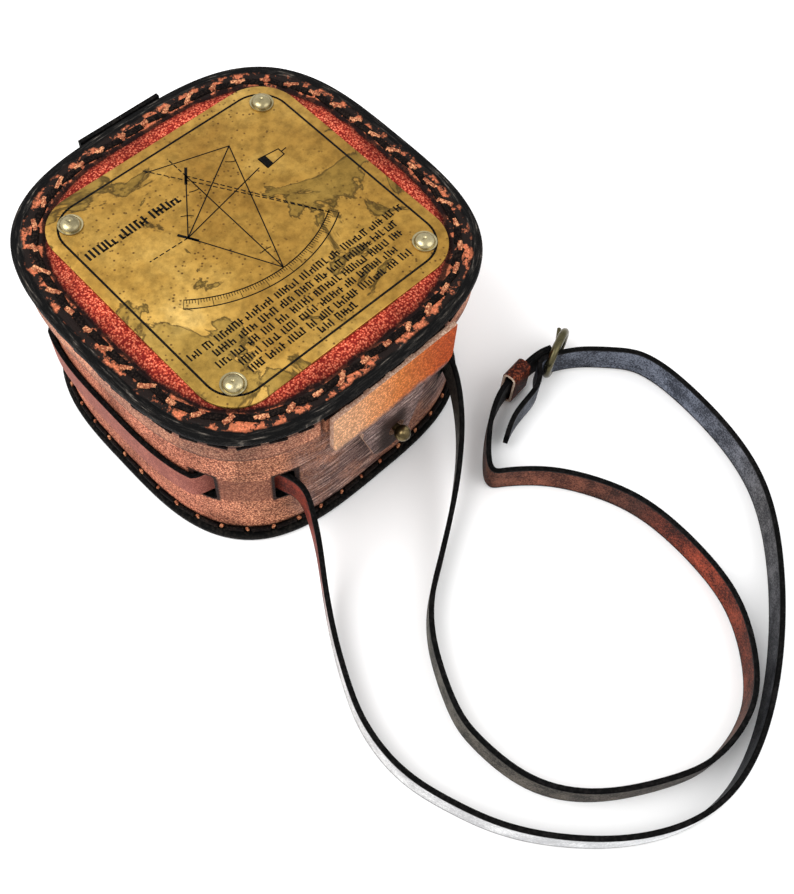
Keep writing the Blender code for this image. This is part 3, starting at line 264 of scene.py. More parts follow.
# Tan hide, weathered to dark streaks on the front, with pale streaks that are partly a painted highlight, burnished
# edges round the slots and along the foot, and a painted shadow under the lid.
def tanLeather():
    material, tree, shader, spot = newFinish("tan_leather", 0.60)
    colour, grain = leatherColour(tree, spot, (0.96, 0.50, 0.29), (0.70, 0.285, 0.155), (0.22, 0.075, 0.045), 1500)
    x, y, z = partsOf(tree, spot)
    rosy = mathOf(tree, "MULTIPLY", between(tree, x, -0.046, -0.062), 0.55)
    colour = mixOf(tree, rosy, colour, mixOf(tree, 1.0, colour, (1.0, 0.74, 0.84), "MULTIPLY"))
    front = mathOf(tree, "MULTIPLY", between(tree, y, -0.044, -0.057), between(tree, x, -0.040, -0.026))
    streaks = noiseOf(tree, stretched(tree, spot, (90, 90, 1500)), 1, 7, 0.74)
    scuffed = rampOf(tree, streaks, ((0.36, (0.012, 0.009, 0.010)), (0.46, (0.085, 0.050, 0.046)),
                                     (0.54, (0.215, 0.125, 0.105)), (0.64, (0.62, 0.42, 0.34))))
    speckle = greyRamp(tree, noiseOf(tree, spot, 1600, 3), ((0.36, 0.42), (0.62, 1.35)))
    scuffed = mixOf(tree, 1.0, scuffed, speckle, "MULTIPLY")
    # Streaks right of the stud run from black to blue-white: real streaks, whose pale parts are a painted highlight.
    smears = noiseOf(tree, stretched(tree, spot, (45, 45, 420)), 1, 6, 0.66)
    streaksAndHighlight = rampOf(tree, smears, ((0.40, (0.008, 0.008, 0.009)), (0.49, (0.055, 0.052, 0.058)),
                                     (0.55, (0.30, 0.31, 0.34)), (0.66, (0.80, 0.80, 0.84))))
    highlightArea = mathOf(tree, "MULTIPLY", between(tree, x, 0.012, 0.022), between(tree, z, 0.034, 0.046))
    scuffed = mixOf(tree, mathOf(tree, "MULTIPLY", highlightArea, 0.85), scuffed, streaksAndHighlight)
    tanned = mathOf(tree, "MULTIPLY", greyRamp(tree, noiseOf(tree, spot, 45, 4), ((0.46, 1.0), (0.62, 0.35))), front)
    colour = mixOf(tree, tanned, colour, scuffed)
    aside, along = mathOf(tree, "ABSOLUTE", x), mathOf(tree, "ABSOLUTE", y)
    corner = mathOf(tree, "MINIMUM", aside, along)
    level = mathOf(tree, "ABSOLUTE", mathOf(tree, "SUBTRACT", z, 0.0325))
    pressed = mathOf(tree, "MULTIPLY", between(tree, corner, 0.0385, 0.0400), between(tree, level, 0.0080, 0.0064))
    colour = mixOf(tree, mathOf(tree, "MULTIPLY", pressed, 0.60), colour, (0.13, 0.045, 0.030))
    for place in (0.0368, 0.0400):
        beside = mathOf(tree, "ABSOLUTE", mathOf(tree, "SUBTRACT", corner, place))
        burnt = mathOf(tree, "MULTIPLY", between(tree, beside, 0.0052, 0.0042), between(tree, level, 0.0094, 0.0084))
        onSide = between(tree, aside, 0.050, 0.047) if place == 0.0368 else between(tree, along, 0.050, 0.047)
        colour = mixOf(tree, mathOf(tree, "MULTIPLY", burnt, mathOf(tree, "MULTIPLY", onSide, 0.94)), colour,
                       (0.008, 0.006, 0.006))
    wavy = mathOf(tree, "ADD", z, mathOf(tree, "MULTIPLY", noiseOf(tree, spot, 120, 3), 0.005))
    foot = mathOf(tree, "MULTIPLY", between(tree, wavy, 0.0098, 0.0070), 0.94)
    colour = mixOf(tree, foot, colour, (0.012, 0.008, 0.007))
    # painted shadow cast by the lid along the top of the wall
    shaded = mathOf(tree, "MULTIPLY", between(tree, wavy, 0.0560, 0.0620), 0.65)
    colour = mixOf(tree, shaded, colour, (0.04, 0.018, 0.014))
    tree.links.new(colour, shader.inputs["Base Color"])
    addBump(tree, shader, mathOf(tree, "SUBTRACT", noiseOf(tree, spot, 900), grain), 0.45, 0.0003)
    return material


# The lid's band: orange-tan, greyed towards the front corner, dark along its lower edge, with painted shade along its
# top under the rim.
def skirtLeather():
    material, tree, shader, spot = newFinish("skirt_leather", 0.50)
    colour, grain = leatherColour(tree, spot, (0.98, 0.54, 0.33), (0.74, 0.31, 0.17), (0.32, 0.11, 0.065), 1600)
    x, y, z = partsOf(tree, spot)
    cloudy = greyRamp(tree, noiseOf(tree, stretched(tree, spot, (26, 26, 14)), 1, 3), ((0.48, 0), (0.62, 1)))
    colour = mixOf(tree, mathOf(tree, "MULTIPLY", cloudy, 0.60), colour, mixOf(tree, 1.0, colour, (0.42, 0.46, 0.55), "MULTIPLY"))
    lower = mathOf(tree, "MULTIPLY", between(tree, z, 0.0622, 0.0600), 0.75)
    colour = mixOf(tree, lower, colour, (0.045, 0.018, 0.014))
    # painted shade along the top of the band, under the lid's rim
    upper = mathOf(tree, "MULTIPLY", between(tree, z, 0.0676, 0.0698), 0.85)
    colour = mixOf(tree, upper, colour, (0.04, 0.016, 0.013))
    tree.links.new(colour, shader.inputs["Base Color"])
    addBump(tree, shader, grain, 0.30, -0.0003)
    return material


# The lid's top: a black fibrous rim with painted highlights along its fibres, a patchy laced margin, a dark crease line
# that is partly painted shadow, and a red grained field with painted shade towards the crease.
def redLeather():
    material, tree, shader, spot = newFinish("red_leather", 0.60)
    x, y, _ = partsOf(tree, spot)
    inset = mathOf(tree, "MULTIPLY", attributeOf(tree, "inset"), 50.0)        # 1 at 20 mm in from the edge
    grain = grainOf(tree, spot, 1350)
    pebble = rampOf(tree, grain, ((0.12, (0.98, 0.34, 0.20)), (0.36, (0.70, 0.110, 0.055)), (0.64, (0.22, 0.014, 0.010))))
    fine = greyRamp(tree, noiseOf(tree, spot, 2000, 2), ((0.30, 0.62), (0.68, 1.18)))
    pebble = mixOf(tree, 1.0, pebble, fine, "MULTIPLY")
    patches = greyRamp(tree, noiseOf(tree, spot, 230, 5, 0.66), ((0.50, 0), (0.57, 1)))
    warm = mixOf(tree, 0.5, pebble, (0.50, 0.20, 0.09))
    margin = mixOf(tree, patches, (0.012, 0.008, 0.007), warm)
    ragged = mathOf(tree, "MULTIPLY", noiseOf(tree, spot, 150, 4), 0.16)
    wander = mathOf(tree, "ADD", inset, ragged)
    rim = between(tree, wander, 0.275, 0.225)
    # dark line along the crease: the crease's own line, deepened by painted shadow in the groove
    seam = mathOf(tree, "MULTIPLY", between(tree, wander, 0.49, 0.52), between(tree, wander, 0.61, 0.55))
    field = between(tree, wander, 0.54, 0.58)
    # painted shade on the field where it slopes down into the crease
    shade = greyRamp(tree, wander, ((0.54, 0.16), (0.66, 0.70), (0.82, 1.0)))
    mottle = greyRamp(tree, noiseOf(tree, spot, 60, 4), ((0.34, 0.55), (0.60, 1.05)))
    red = mixOf(tree, 1.0, mixOf(tree, 1.0, pebble, shade, "MULTIPLY"), mottle, "MULTIPLY")
    colour = mixOf(tree, field, margin, red)
    colour = mixOf(tree, mathOf(tree, "MULTIPLY", seam, 0.92), colour, (0.010, 0.004, 0.004))
    # grey streaks in the black rim: the leather's fibres, with painted highlights along them
    fibres = noiseOf(tree, joined(tree, mathOf(tree, "MULTIPLY", x, 120), mathOf(tree, "MULTIPLY", y, 120),
                                  mathOf(tree, "MULTIPLY", inset, 26)), 1, 6, 0.7)
    fibresAndHighlights = rampOf(tree, fibres, ((0.50, (0.003, 0.003, 0.003)), (0.60, (0.020, 0.018, 0.016)), (0.70, (0.17, 0.145, 0.12))))
    colour = mixOf(tree, rim, colour, fibresAndHighlights)
    tree.links.new(colour, shader.inputs["Base Color"])
    addBump(tree, shader, mathOf(tree, "SUBTRACT", grain, fibres), 0.65, -0.0004)
    return material


def plainLeather(name, light, dark, roughness, scale=600, bump=0.3):
    material, tree, shader, spot = newFinish(name, roughness, 0.0, 0.03)
    grain = grainOf(tree, spot, scale)
    mottle = noiseOf(tree, spot, 180, 5)
    colour = rampOf(tree, mathOf(tree, "MULTIPLY", mathOf(tree, "ADD", grain, mottle), 0.6), ((0.30, light), (0.66, dark)))
    tree.links.new(colour, shader.inputs["Base Color"])
    addBump(tree, shader, grain, bump, -0.0003)
    return material


# Strap leather whose colour changes along its length, on the left strap's outer face partly a painted reflection, with
# edge paint run a little way onto the face.
# A stop is (share of the length, light, dark).
def strapFinish(name, stops, roughness=0.55):
    material, tree, shader, spot = newFinish(name, roughness)
    uvMap = tree.nodes.new("ShaderNodeUVMap")
    uvMap.uv_map = "strapUV"
    along, across, _ = partsOf(tree, uvMap.outputs[0])
    grain = grainOf(tree, spot, 1500)
    light = rampOf(tree, along, [(where, bright) for where, bright, _ in stops])
    dark = rampOf(tree, along, [(where, dim) for where, _, dim in stops])
    fibres = noiseOf(tree, spot, 1500, 4, 0.7)
    worn = noiseOf(tree, spot, 130, 4)
    speckle = mathOf(tree, "ADD", mathOf(tree, "MULTIPLY", fibres, 0.60), mathOf(tree, "MULTIPLY", worn, 0.40))
    colour = mixOf(tree, greyRamp(tree, speckle, ((0.44, 0), (0.62, 1))), dark, light)
    side = mathOf(tree, "ABSOLUTE", mathOf(tree, "SUBTRACT", across, 0.5))
    painted = between(tree, mathOf(tree, "ADD", side, mathOf(tree, "MULTIPLY", noiseOf(tree, spot, 500, 2), 0.03)), 0.430, 0.455)
    colour = mixOf(tree, painted, colour, (0.006, 0.006, 0.006))
    tree.links.new(colour, shader.inputs["Base Color"])
    addBump(tree, shader, mathOf(tree, "ADD", fibres, grain), 0.30, -0.0002)
    return material


def brassFinish(name, bright, dull, tarnish, roughness, spotting=1.0):
    material, tree, shader, spot = newFinish(name, roughness, 1.0)
    cloud = noiseOf(tree, spot, 95, 6, 0.62, 0.6)
    base = rampOf(tree, noiseOf(tree, spot, 40, 5), ((0.34, dull), (0.62, bright)))
    blotch = greyRamp(tree, cloud, ((0.555, 0), (0.58, 1)))
    colour = mixOf(tree, mathOf(tree, "MULTIPLY", blotch, 0.65 * spotting), base, tarnish)
    fine = greyRamp(tree, noiseOf(tree, spot, 800, 3), ((0.3, 0.78), (0.6, 1.0)))
    tree.links.new(mixOf(tree, 1.0, colour, fine, "MULTIPLY"), shader.inputs["Base Color"])
    rough = greyRamp(tree, cloud, ((0.3, roughness * 0.8), (0.62, min(1.0, roughness * 1.6))))
    tree.links.new(rough, shader.inputs["Roughness"])
    addBump(tree, shader, noiseOf(tree, spot, 1400, 3), 0.08, 0.0001)
    return material


# Sheet brass with water stains that dried with dark edges, and small pits.
def plateBrass():
    material, tree, shader, spot = newFinish("plate_brass", 0.40, 0.80)
    base = rampOf(tree, noiseOf(tree, spot, 21, 6, 0.62),
                  ((0.36, (0.31, 0.165, 0.032)), (0.48, (0.42, 0.24, 0.050)),
                   (0.58, (0.54, 0.33, 0.080)), (0.72, (0.72, 0.49, 0.16))))
    stain = noiseOf(tree, spot, 34, 6, 0.56, 0.8)
    inside = greyRamp(tree, stain, ((0.553, 0), (0.562, 1)))
    edge = greyRamp(tree, stain, ((0.544, 0), (0.554, 1), (0.562, 1), (0.580, 0)))
    colour = mixOf(tree, mathOf(tree, "MULTIPLY", inside, 0.55), base, (0.19, 0.13, 0.030))
    colour = mixOf(tree, mathOf(tree, "MULTIPLY", edge, 0.75), colour, (0.050, 0.032, 0.012))
    pits = greyRamp(tree, cellsOf(tree, spot, 520), ((0.14, 1), (0.26, 0)))
    where = greyRamp(tree, noiseOf(tree, spot, 60, 3), ((0.42, 0), (0.54, 1)))
    colour = mixOf(tree, mathOf(tree, "MULTIPLY", mathOf(tree, "MULTIPLY", pits, where), 0.8), colour, (0.065, 0.028, 0.012))
    clouds = greyRamp(tree, noiseOf(tree, spot, 260, 5, 0.7), ((0.36, 0.70), (0.60, 1.10)))
    tree.links.new(mixOf(tree, 1.0, colour, clouds, "MULTIPLY"), shader.inputs["Base Color"])
    tree.links.new(greyRamp(tree, stain, ((0.40, 0.34), (0.62, 0.56))), shader.inputs["Roughness"])
    addBump(tree, shader, mathOf(tree, "SUBTRACT", noiseOf(tree, spot, 500, 4), pits), 0.14, 0.0001)
    return material


def glassFinish(name, tint, roughness=0.03):
    material, tree, shader, spot = newFinish(name, roughness, 0.0, 0.5)
    shader.inputs["Transmission Weight"].default_value = 0.92
    shader.inputs["IOR"].default_value = 1.5
    smear = noiseOf(tree, spot, 160, 3)
    tree.links.new(rampOf(tree, smear, ((0.3, tint), (0.8, tuple(0.82 * c for c in tint)))), shader.inputs["Base Color"])
    return material


def mirrorFinish():
    material, tree, shader, spot = newFinish("mirror_glass", 0.04, 1.0)
    colour = rampOf(tree, noiseOf(tree, spot, 240, 5), ((0.30, (0.62, 0.60, 0.55)), (0.42, (0.90, 0.92, 0.92))))
    tree.links.new(colour, shader.inputs["Base Color"])
    return material


def woodFinish():
    material, tree, shader, spot = newFinish("grip_wood", 0.28)
    ringed = noiseOf(tree, stretched(tree, spot, (900, 60, 900)), 1, 6, 0.65, 0.8)
    tree.links.new(rampOf(tree, ringed, ((0.32, (0.055, 0.018, 0.008)), (0.66, (0.26, 0.10, 0.04)))), shader.inputs["Base Color"])
    addBump(tree, shader, ringed, 0.15, 0.0002)
    return material


finishes = {
    "tan": tanLeather(),
    "skirt": skirtLeather(),
    "red": redLeather(),
    "black": plainLeather("black_leather", (0.016, 0.014, 0.012), (0.003, 0.003, 0.003), 0.60, 900),
    "lace": plainLeather("lace_leather", (0.020, 0.013, 0.010), (0.003, 0.002, 0.002), 0.60, 1500),
    "spot": plainLeather("raw_leather", (0.86, 0.42, 0.21), (0.20, 0.055, 0.028), 0.65, 1700),
    "cutEdge": plainLeather("cut_edge", (0.80, 0.58, 0.44), (0.34, 0.19, 0.13), 0.7, 1700),
    "suede": plainLeather("suede_side", (0.30, 0.18, 0.11), (0.12, 0.065, 0.04), 0.9, 1900),
    "keeper": plainLeather("keeper_leather", (0.24, 0.055, 0.026), (0.030, 0.009, 0.007), 0.42, 1100),
    "piping": plainLeather("keeper_edge", (0.86, 0.72, 0.58), (0.46, 0.33, 0.25), 0.6, 1700),
    "band": plainLeather("band_leather", (0.42, 0.150, 0.105), (0.19, 0.056, 0.042), 0.50, 1700, 0.2),
    "paintedEdge": plainLeather("painted_edge", (0.010, 0.009, 0.009), (0.002, 0.002, 0.002), 0.60, 900, 0.15),
    "plate": plateBrass(),
    "brass": brassFinish("instrument_brass", (0.72, 0.49, 0.17), (0.44, 0.27, 0.07), (0.16, 0.10, 0.035), 0.30),
    "darkBrass": brassFinish("buckle_brass", (0.12, 0.105, 0.055), (0.020, 0.018, 0.011), (0.006, 0.006, 0.005), 0.24),
    "rivet": brassFinish("rivet_metal", (0.56, 0.49, 0.29), (0.28, 0.23, 0.12), (0.10, 0.08, 0.04), 0.22, 0.8),
    "stud": brassFinish("stud_brass", (0.34, 0.26, 0.12), (0.08, 0.055, 0.024), (0.020, 0.013, 0.008), 0.24),
    "silvered": brassFinish("silvered_scale", (0.80, 0.78, 0.72), (0.60, 0.58, 0.52), (0.38, 0.35, 0.28), 0.34, 0.4),
    "ink": plainLeather("engraving_wax", (0.012, 0.010, 0.009), (0.004, 0.004, 0.004), 0.55, 1200, 0.1),
    "glass": glassFinish("clear_glass", (0.93, 0.96, 0.95)),
    "shade": glassFinish("shade_glass", (0.34, 0.06, 0.03)),
    "mirror": mirrorFinish(),
    "wood": woodFinish(),
}
print("finishes made")


# Turns a bmesh into a named piece that rides on a body.
def showPiece(name, bm, body, materials, nodes=(), smoothAngle=35, riding=True):
    mesh = bpy.data.meshes.new(name)
    bm.to_mesh(mesh)
    bm.free()
    for material in materials:
        mesh.materials.append(material)
    mesh.shade_smooth()
    mesh.set_sharp_from_angle(angle=math.radians(smoothAngle))
    piece = bpy.data.objects.new(name, mesh)
    bpy.context.scene.collection.objects.link(piece)
    if riding:
        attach(piece, body)
    if nodes:
        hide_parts(*nodes)
    return piece


def outlinePoint(angle, half):
    c, s = math.cos(angle), math.sin(angle)
    reach = half / (abs(c) ** cornerPower + abs(s) ** cornerPower) ** (1 / cornerPower)
    return Vector((reach * c, reach * s))


# Evenly spaced places on the case's outline: point and heading.
def aroundOutline(half, count, shift=0.0):
    steps = 1440
    points = [outlinePoint(2 * math.pi * i / steps, half) for i in range(steps + 1)]
    lengths = [0.0]
    for a, b in zip(points, points[1:]):
        lengths.append(lengths[-1] + (b - a).length)
    found = []
    index = 0
    for number in range(count):
        wanted = lengths[-1] * (number + shift) / count
        while lengths[index + 1] < wanted:
            index += 1
        ahead = points[index + 1] - points[index]
        found.append((points[index], math.atan2(ahead.y, ahead.x)))
    return found


def placeRing(ring, half, height, edge, layer):
    for vert in ring:
        spot = outlinePoint(math.atan2(vert.co.y, vert.co.x), half)
        vert.co = (spot.x, spot.y, height)
        vert[layer] = max(0.0, edge - half)


# A body grown ring by ring, each ring (half width, height), from a circle pressed to the case's outline.
def ringBody(rings, edge, closed=False, fillEnds=True, steps=outlineSteps):
    bm = bmesh.new()
    layer = bm.verts.layers.float.new("inset")
    ring = bmesh.ops.create_circle(bm, cap_ends=False, segments=steps, radius=1)["verts"]
    placeRing(ring, *rings[0], edge, layer)
    edges = list(bm.edges)
    first = edges
    for half, height in list(rings[1:]) + ([rings[0]] if closed else []):
        grown = bmesh.ops.extrude_edge_only(bm, edges=edges)["geom"]
        ring = [item for item in grown if isinstance(item, bmesh.types.BMVert)]
        placeRing(ring, half, height, edge, layer)
        edges = [item for item in grown if isinstance(item, bmesh.types.BMEdge)
                 and all(vert in ring for vert in item.verts)]
        ring = set(ring)
        edges = [item for item in edges if item.verts[0] in ring and item.verts[1] in ring]
    if closed:
        bmesh.ops.remove_doubles(bm, verts=bm.verts, dist=1e-7)
    elif fillEnds:
        bmesh.ops.edgeloop_fill(bm, edges=first)
        bmesh.ops.edgeloop_fill(bm, edges=edges)
    bmesh.ops.recalc_face_normals(bm, faces=bm.faces)
    return bm


# A small block with round edges, as a mesh that rows of stitches copy.
def padMesh(size, edge, segments=2, dome=0.0):
    bm = bmesh.new()
    bmesh.ops.create_cube(bm, size=1)
    bmesh.ops.scale(bm, vec=size, verts=bm.verts)
    bmesh.ops.bevel(bm, geom=list(bm.edges), offset=edge, offset_type="OFFSET", segments=segments, profile=0.5,
                    affect="EDGES", material=-1, clamp_overlap=True)
    for vert in bm.verts:
        if vert.co.z > 0:
            vert.co.z += dome * (1 - (2 * vert.co.x / size[0]) ** 2)
    mesh = bpy.data.meshes.new("pad")
    bm.to_mesh(mesh)
    bm.free()
    return mesh


def addCopy(bm, template, matrix):
    start = len(bm.verts)
    bm.from_mesh(template)
    bm.verts.ensure_lookup_table()
    bmesh.ops.transform(bm, matrix=matrix, verts=bm.verts[start:])


# A profile of (radius, height) spun about Z.
def turnedBody(profile, steps=48):
    bm = bmesh.new()
    verts = [bm.verts.new((radius, 0, height)) for radius, height in profile]
    edges = [bm.edges.new(pair) for pair in zip(verts, verts[1:])]
    bmesh.ops.spin(bm, geom=verts + edges, cent=(0, 0, 0), axis=(0, 0, 1), angle=2 * math.pi, steps=steps,
                   use_merge=True)
    bmesh.ops.remove_doubles(bm, verts=bm.verts, dist=1e-7)
    bmesh.ops.recalc_face_normals(bm, faces=bm.faces)
    return bm


# Cuts the blocks in one mesh out of bm and returns the result.
def cutWith(bm, cutters):
    whole = bpy.data.meshes.new("whole")
    bm.to_mesh(whole)
    bm.free()
    tool = bpy.data.meshes.new("tool")
    cutters.to_mesh(tool)
    cutters.free()
    objects = [bpy.data.objects.new(mesh.name, mesh) for mesh in (whole, tool)]
    for item in objects:
        bpy.context.scene.collection.objects.link(item)
    modifier = objects[0].modifiers.new("cut", "BOOLEAN")
    modifier.operation = "DIFFERENCE"
    modifier.solver = "EXACT"
    modifier.object = objects[1]
    evaluated = objects[0].evaluated_get(bpy.context.evaluated_depsgraph_get())
    result = bmesh.new()
    result.from_mesh(evaluated.to_mesh())
    evaluated.to_mesh_clear()
    for item in objects:
        bpy.data.objects.remove(item)
    return result


strapSet = {
    "width": 0.0125,
    "thick": 0.0018,
    "bead": 0.0003,                     # how far the painted edges are rounded
    "steps": 8,
    "easing": 14,
    "leftLength": 0.487,
    "rightLength": 0.458,
}
leftRoute = (
    (-0.0470, -0.0470, 0.0325), (-0.0426, -0.0498, 0.0325), (-0.0388, -0.0526, 0.0325),
    (-0.0368, -0.0566, 0.0322), (-0.0352, -0.0610, 0.0314), (-0.0352, -0.0655, 0.0290),
    (-0.0372, -0.0712, 0.0244), (-0.0412, -0.0790, 0.0172), (-0.0484, -0.0900, 0.0104),
    (-0.0555, -0.1018, 0.0074),
    (-0.0618, -0.1140, 0.0066), (-0.0672, -0.1268, 0.0065), (-0.0694, -0.1400, 0.0065),
    (-0.0688, -0.1510, 0.0065), (-0.0660, -0.1620, 0.0065), (-0.0586, -0.1808, 0.0065),
    (-0.0455, -0.1984, 0.0065), (-0.0293, -0.2128, 0.0065), (-0.0103, -0.2218, 0.0065),
    (0.0104, -0.2222, 0.0065), (0.0344, -0.2136, 0.0065), (0.0594, -0.1982, 0.0065),
    (0.0817, -0.1790, 0.0065), (0.0961, -0.1601, 0.0065), (0.1030, -0.1385, 0.0065),
    (0.1053, -0.1172, 0.0066), (0.1046, -0.1050, 0.0068), (0.1018, -0.0968, 0.0071),
    (0.0955, -0.0900, 0.0076), (0.0883, -0.0838, 0.0084), (0.0828, -0.0803, 0.0090),
    (0.0768, -0.0773, 0.0092), (0.0716, -0.0757, 0.0092), (0.0686, -0.0775, 0.0090),
    (0.0655, -0.0806, 0.0086), (0.0608, -0.0826, 0.0080), (0.0526, -0.0836, 0.0072),
    (0.0460, -0.0854, 0.0068), (0.0405, -0.0882, 0.0066),
)
rightRoute = (
    (0.0470, -0.0470, 0.0325), (0.0426, -0.0498, 0.0325), (0.0388, -0.0526, 0.0325),
    (0.0368, -0.0566, 0.0322), (0.0354, -0.0612, 0.0314), (0.0334, -0.0662, 0.0286),
    (0.0302, -0.0720, 0.0240), (0.0256, -0.0782, 0.0190), (0.0188, -0.0850, 0.0146),
    (0.0078, -0.0938, 0.0102),
    (-0.0096, -0.1052, 0.0072), (-0.0222, -0.1132, 0.0066), (-0.0310, -0.1222, 0.0065),
    (-0.0375, -0.1328, 0.0065), (-0.0430, -0.1450, 0.0065), (-0.0450, -0.1560, 0.0065),
    (-0.0424, -0.1775, 0.0065), (-0.0297, -0.1948, 0.0065), (-0.0085, -0.2080, 0.0065),
    (0.0060, -0.2130, 0.0065), (0.0232, -0.2118, 0.0065), (0.0372, -0.2046, 0.0065),
    (0.0519, -0.1866, 0.0065), (0.0574, -0.1661, 0.0065), (0.0580, -0.1418, 0.0065),
    (0.0521, -0.1240, 0.0065), (0.0424, -0.1086, 0.0065), (0.0312, -0.0988, 0.0066),
    (0.0272, -0.0962, 0.0067), (0.0266, -0.0936, 0.0068), (0.0290, -0.0900, 0.0070),
    (0.0347, -0.0846, 0.0074), (0.0430, -0.0784, 0.0080), (0.0519, -0.0744, 0.0086),
    (0.0607, -0.0734, 0.0088), (0.0680, -0.0728, 0.0090), (0.0740, -0.0732, 0.0092),
    (0.0780, -0.0744, 0.0092),
)


def smoothRoute(points, steps):
    route = [Vector(p) for p in points]
    ends = [2 * route[0] - route[1]] + route + [2 * route[-1] - route[-2]]
    found = []
    for a, b, c, d in zip(ends, ends[1:], ends[2:], ends[3:]):
        for step in range(steps):
            t = step / steps
            found.append(0.5 * (2 * b + (c - a) * t + (2 * a - 5 * b + 4 * c - d) * t ** 2
                                + (3 * b - a - 3 * c + d) * t ** 3))
    return found + [route[-1]]


# The strap's cross-section from the right face round: (to the left, up, face kind of the side that follows).
def strapSection():
    t = strapSet["thick"] / 2
    w = strapSet["width"] / 2
    r = strapSet["bead"]
    return [(-t, -w + r, 0), (-t, 0, 0), (-t, w - r, 2), (-t + r, w, 2), (t - r, w, 2),
            (t, w - r, 1), (t, 0, 1), (t, -w + r, 2), (t - r, -w, 2), (-t + r, -w, 2)]


# Runs the cross-section along the path, standing on edge. UV: share of the length, share of the width.
def sweepStrap(path, pointed):
    bm = bmesh.new()
    uvLayer = bm.loops.layers.uv.new("strapUV")
    section = strapSection()
    lengths = [0.0]
    for a, b in zip(path, path[1:]):
        lengths.append(lengths[-1] + (b - a).length)
    whole = lengths[-1]
    tipLength = 0.011
    ring = [bm.verts.new((0, 0, 0)) for _ in section]
    edges = [bm.edges.new((ring[i], ring[(i + 1) % len(ring)])) for i in range(len(ring))]
    firstRing = edges
    for number, point in enumerate(path):
        ahead = (path[min(number + 1, len(path) - 1)] - path[max(number - 1, 0)]).normalized()
        left = Vector((-ahead.y, ahead.x, 0)).normalized()
        up = ahead.cross(left)
        if number:
            grown = bmesh.ops.extrude_edge_only(bm, edges=edges)["geom"]
            fresh = {item for item in grown if isinstance(item, bmesh.types.BMVert)}
            newRing = []
            for vert in ring:
                newRing.append(next(e.other_vert(vert) for e in vert.link_edges if e.other_vert(vert) in fresh))
            for index in range(len(ring)):
                face = next(f for f in newRing[index].link_faces
                            if newRing[(index + 1) % len(ring)] in f.verts)
                face.material_index = section[index][2]
                for loop in face.loops:
                    there = loop.vert in fresh
                    slotIndex = (newRing if there else ring).index(loop.vert)
                    loop[uvLayer].uv = (lengths[number if there else number - 1] / whole,
                                        0.5 + section[slotIndex][1] / strapSet["width"])
            edges = [bm.edges.get((newRing[i], newRing[(i + 1) % len(ring)])) for i in range(len(ring))]
            ring = newRing
        remaining = (whole - lengths[number]) / tipLength
        narrow = math.sqrt(max(0.03, 1 - max(0.0, 1 - remaining) ** 2)) if pointed else 1.0
        for vert, (across, high, _) in zip(ring, section):
            vert.co = point + left * across + up * high * narrow
    for loop in (firstRing, edges):
        for face in bmesh.ops.edgeloop_fill(bm, edges=loop)["faces"]:
            face.material_index = 2
    bmesh.ops.recalc_face_normals(bm, faces=bm.faces)
    return bm, whole


# The left strap's outer face: red leather near the case, then a pale grey-white run from about 0.15 to 0.68 of the
# length that is a painted reflection on the shiny face.
leftFaces = [
    strapFinish("strap_left_outer", (
        (0.00, (0.26, 0.042, 0.024), (0.040, 0.007, 0.005)), (0.10, (0.30, 0.048, 0.028), (0.050, 0.009, 0.007)),
        (0.15, (0.70, 0.69, 0.68), (0.30, 0.29, 0.29)), (0.50, (0.84, 0.85, 0.86), (0.50, 0.51, 0.53)),
        (0.68, (0.60, 0.63, 0.68), (0.22, 0.24, 0.27)), (0.82, (0.075, 0.080, 0.095), (0.014, 0.014, 0.018)))),
    strapFinish("strap_left_inner", (
        (0.00, (0.05, 0.038, 0.033), (0.008, 0.007, 0.006)), (0.50, (0.060, 0.064, 0.072), (0.009, 0.009, 0.012)),
        (0.62, (0.13, 0.13, 0.14), (0.018, 0.018, 0.022)), (0.70, (0.17, 0.165, 0.17), (0.024, 0.024, 0.027)),
        (0.80, (0.22, 0.245, 0.31), (0.030, 0.034, 0.046)), (1.00, (0.12, 0.13, 0.155), (0.014, 0.014, 0.018)))),
]
rightFaces = [
    strapFinish("strap_right_outer", (
        (0.00, (0.050, 0.048, 0.042), (0.005, 0.005, 0.005)), (0.25, (0.15, 0.14, 0.115), (0.014, 0.013, 0.011)),
        (0.45, (0.20, 0.165, 0.13), (0.022, 0.018, 0.015)), (0.60, (0.085, 0.090, 0.108), (0.010, 0.010, 0.013)),
        (1.00, (0.028, 0.026, 0.024), (0.005, 0.005, 0.005)))),
    strapFinish("strap_right_inner", (
        (0.00, (0.05, 0.04, 0.035), (0.006, 0.005, 0.005)), (0.46, (0.13, 0.095, 0.065), (0.014, 0.011, 0.009)),
        (0.54, (0.12, 0.052, 0.034), (0.016, 0.008, 0.006)), (0.62, (0.26, 0.056, 0.030), (0.026, 0.007, 0.005)),
        (0.69, (0.40, 0.070, 0.034), (0.036, 0.008, 0.006)), (0.75, (0.10, 0.036, 0.026), (0.011, 0.006, 0.005)),
        (0.83, (0.30, 0.100, 0.058), (0.046, 0.014, 0.009)), (0.90, (0.10, 0.05, 0.035), (0.012, 0.007, 0.006)),
        (1.00, (0.028, 0.024, 0.021), (0.005, 0.004, 0.004)))),
]


# Rounds off what corners the chosen points leave, each point moving towards its neighbours.
def eased(path):
    for _ in range(strapSet["easing"]):
        inside = [(a + 2 * b + c) / 4 for a, b, c in zip(path, path[1:], path[2:])]
        path = [path[0], *inside, path[-1]]
    return path


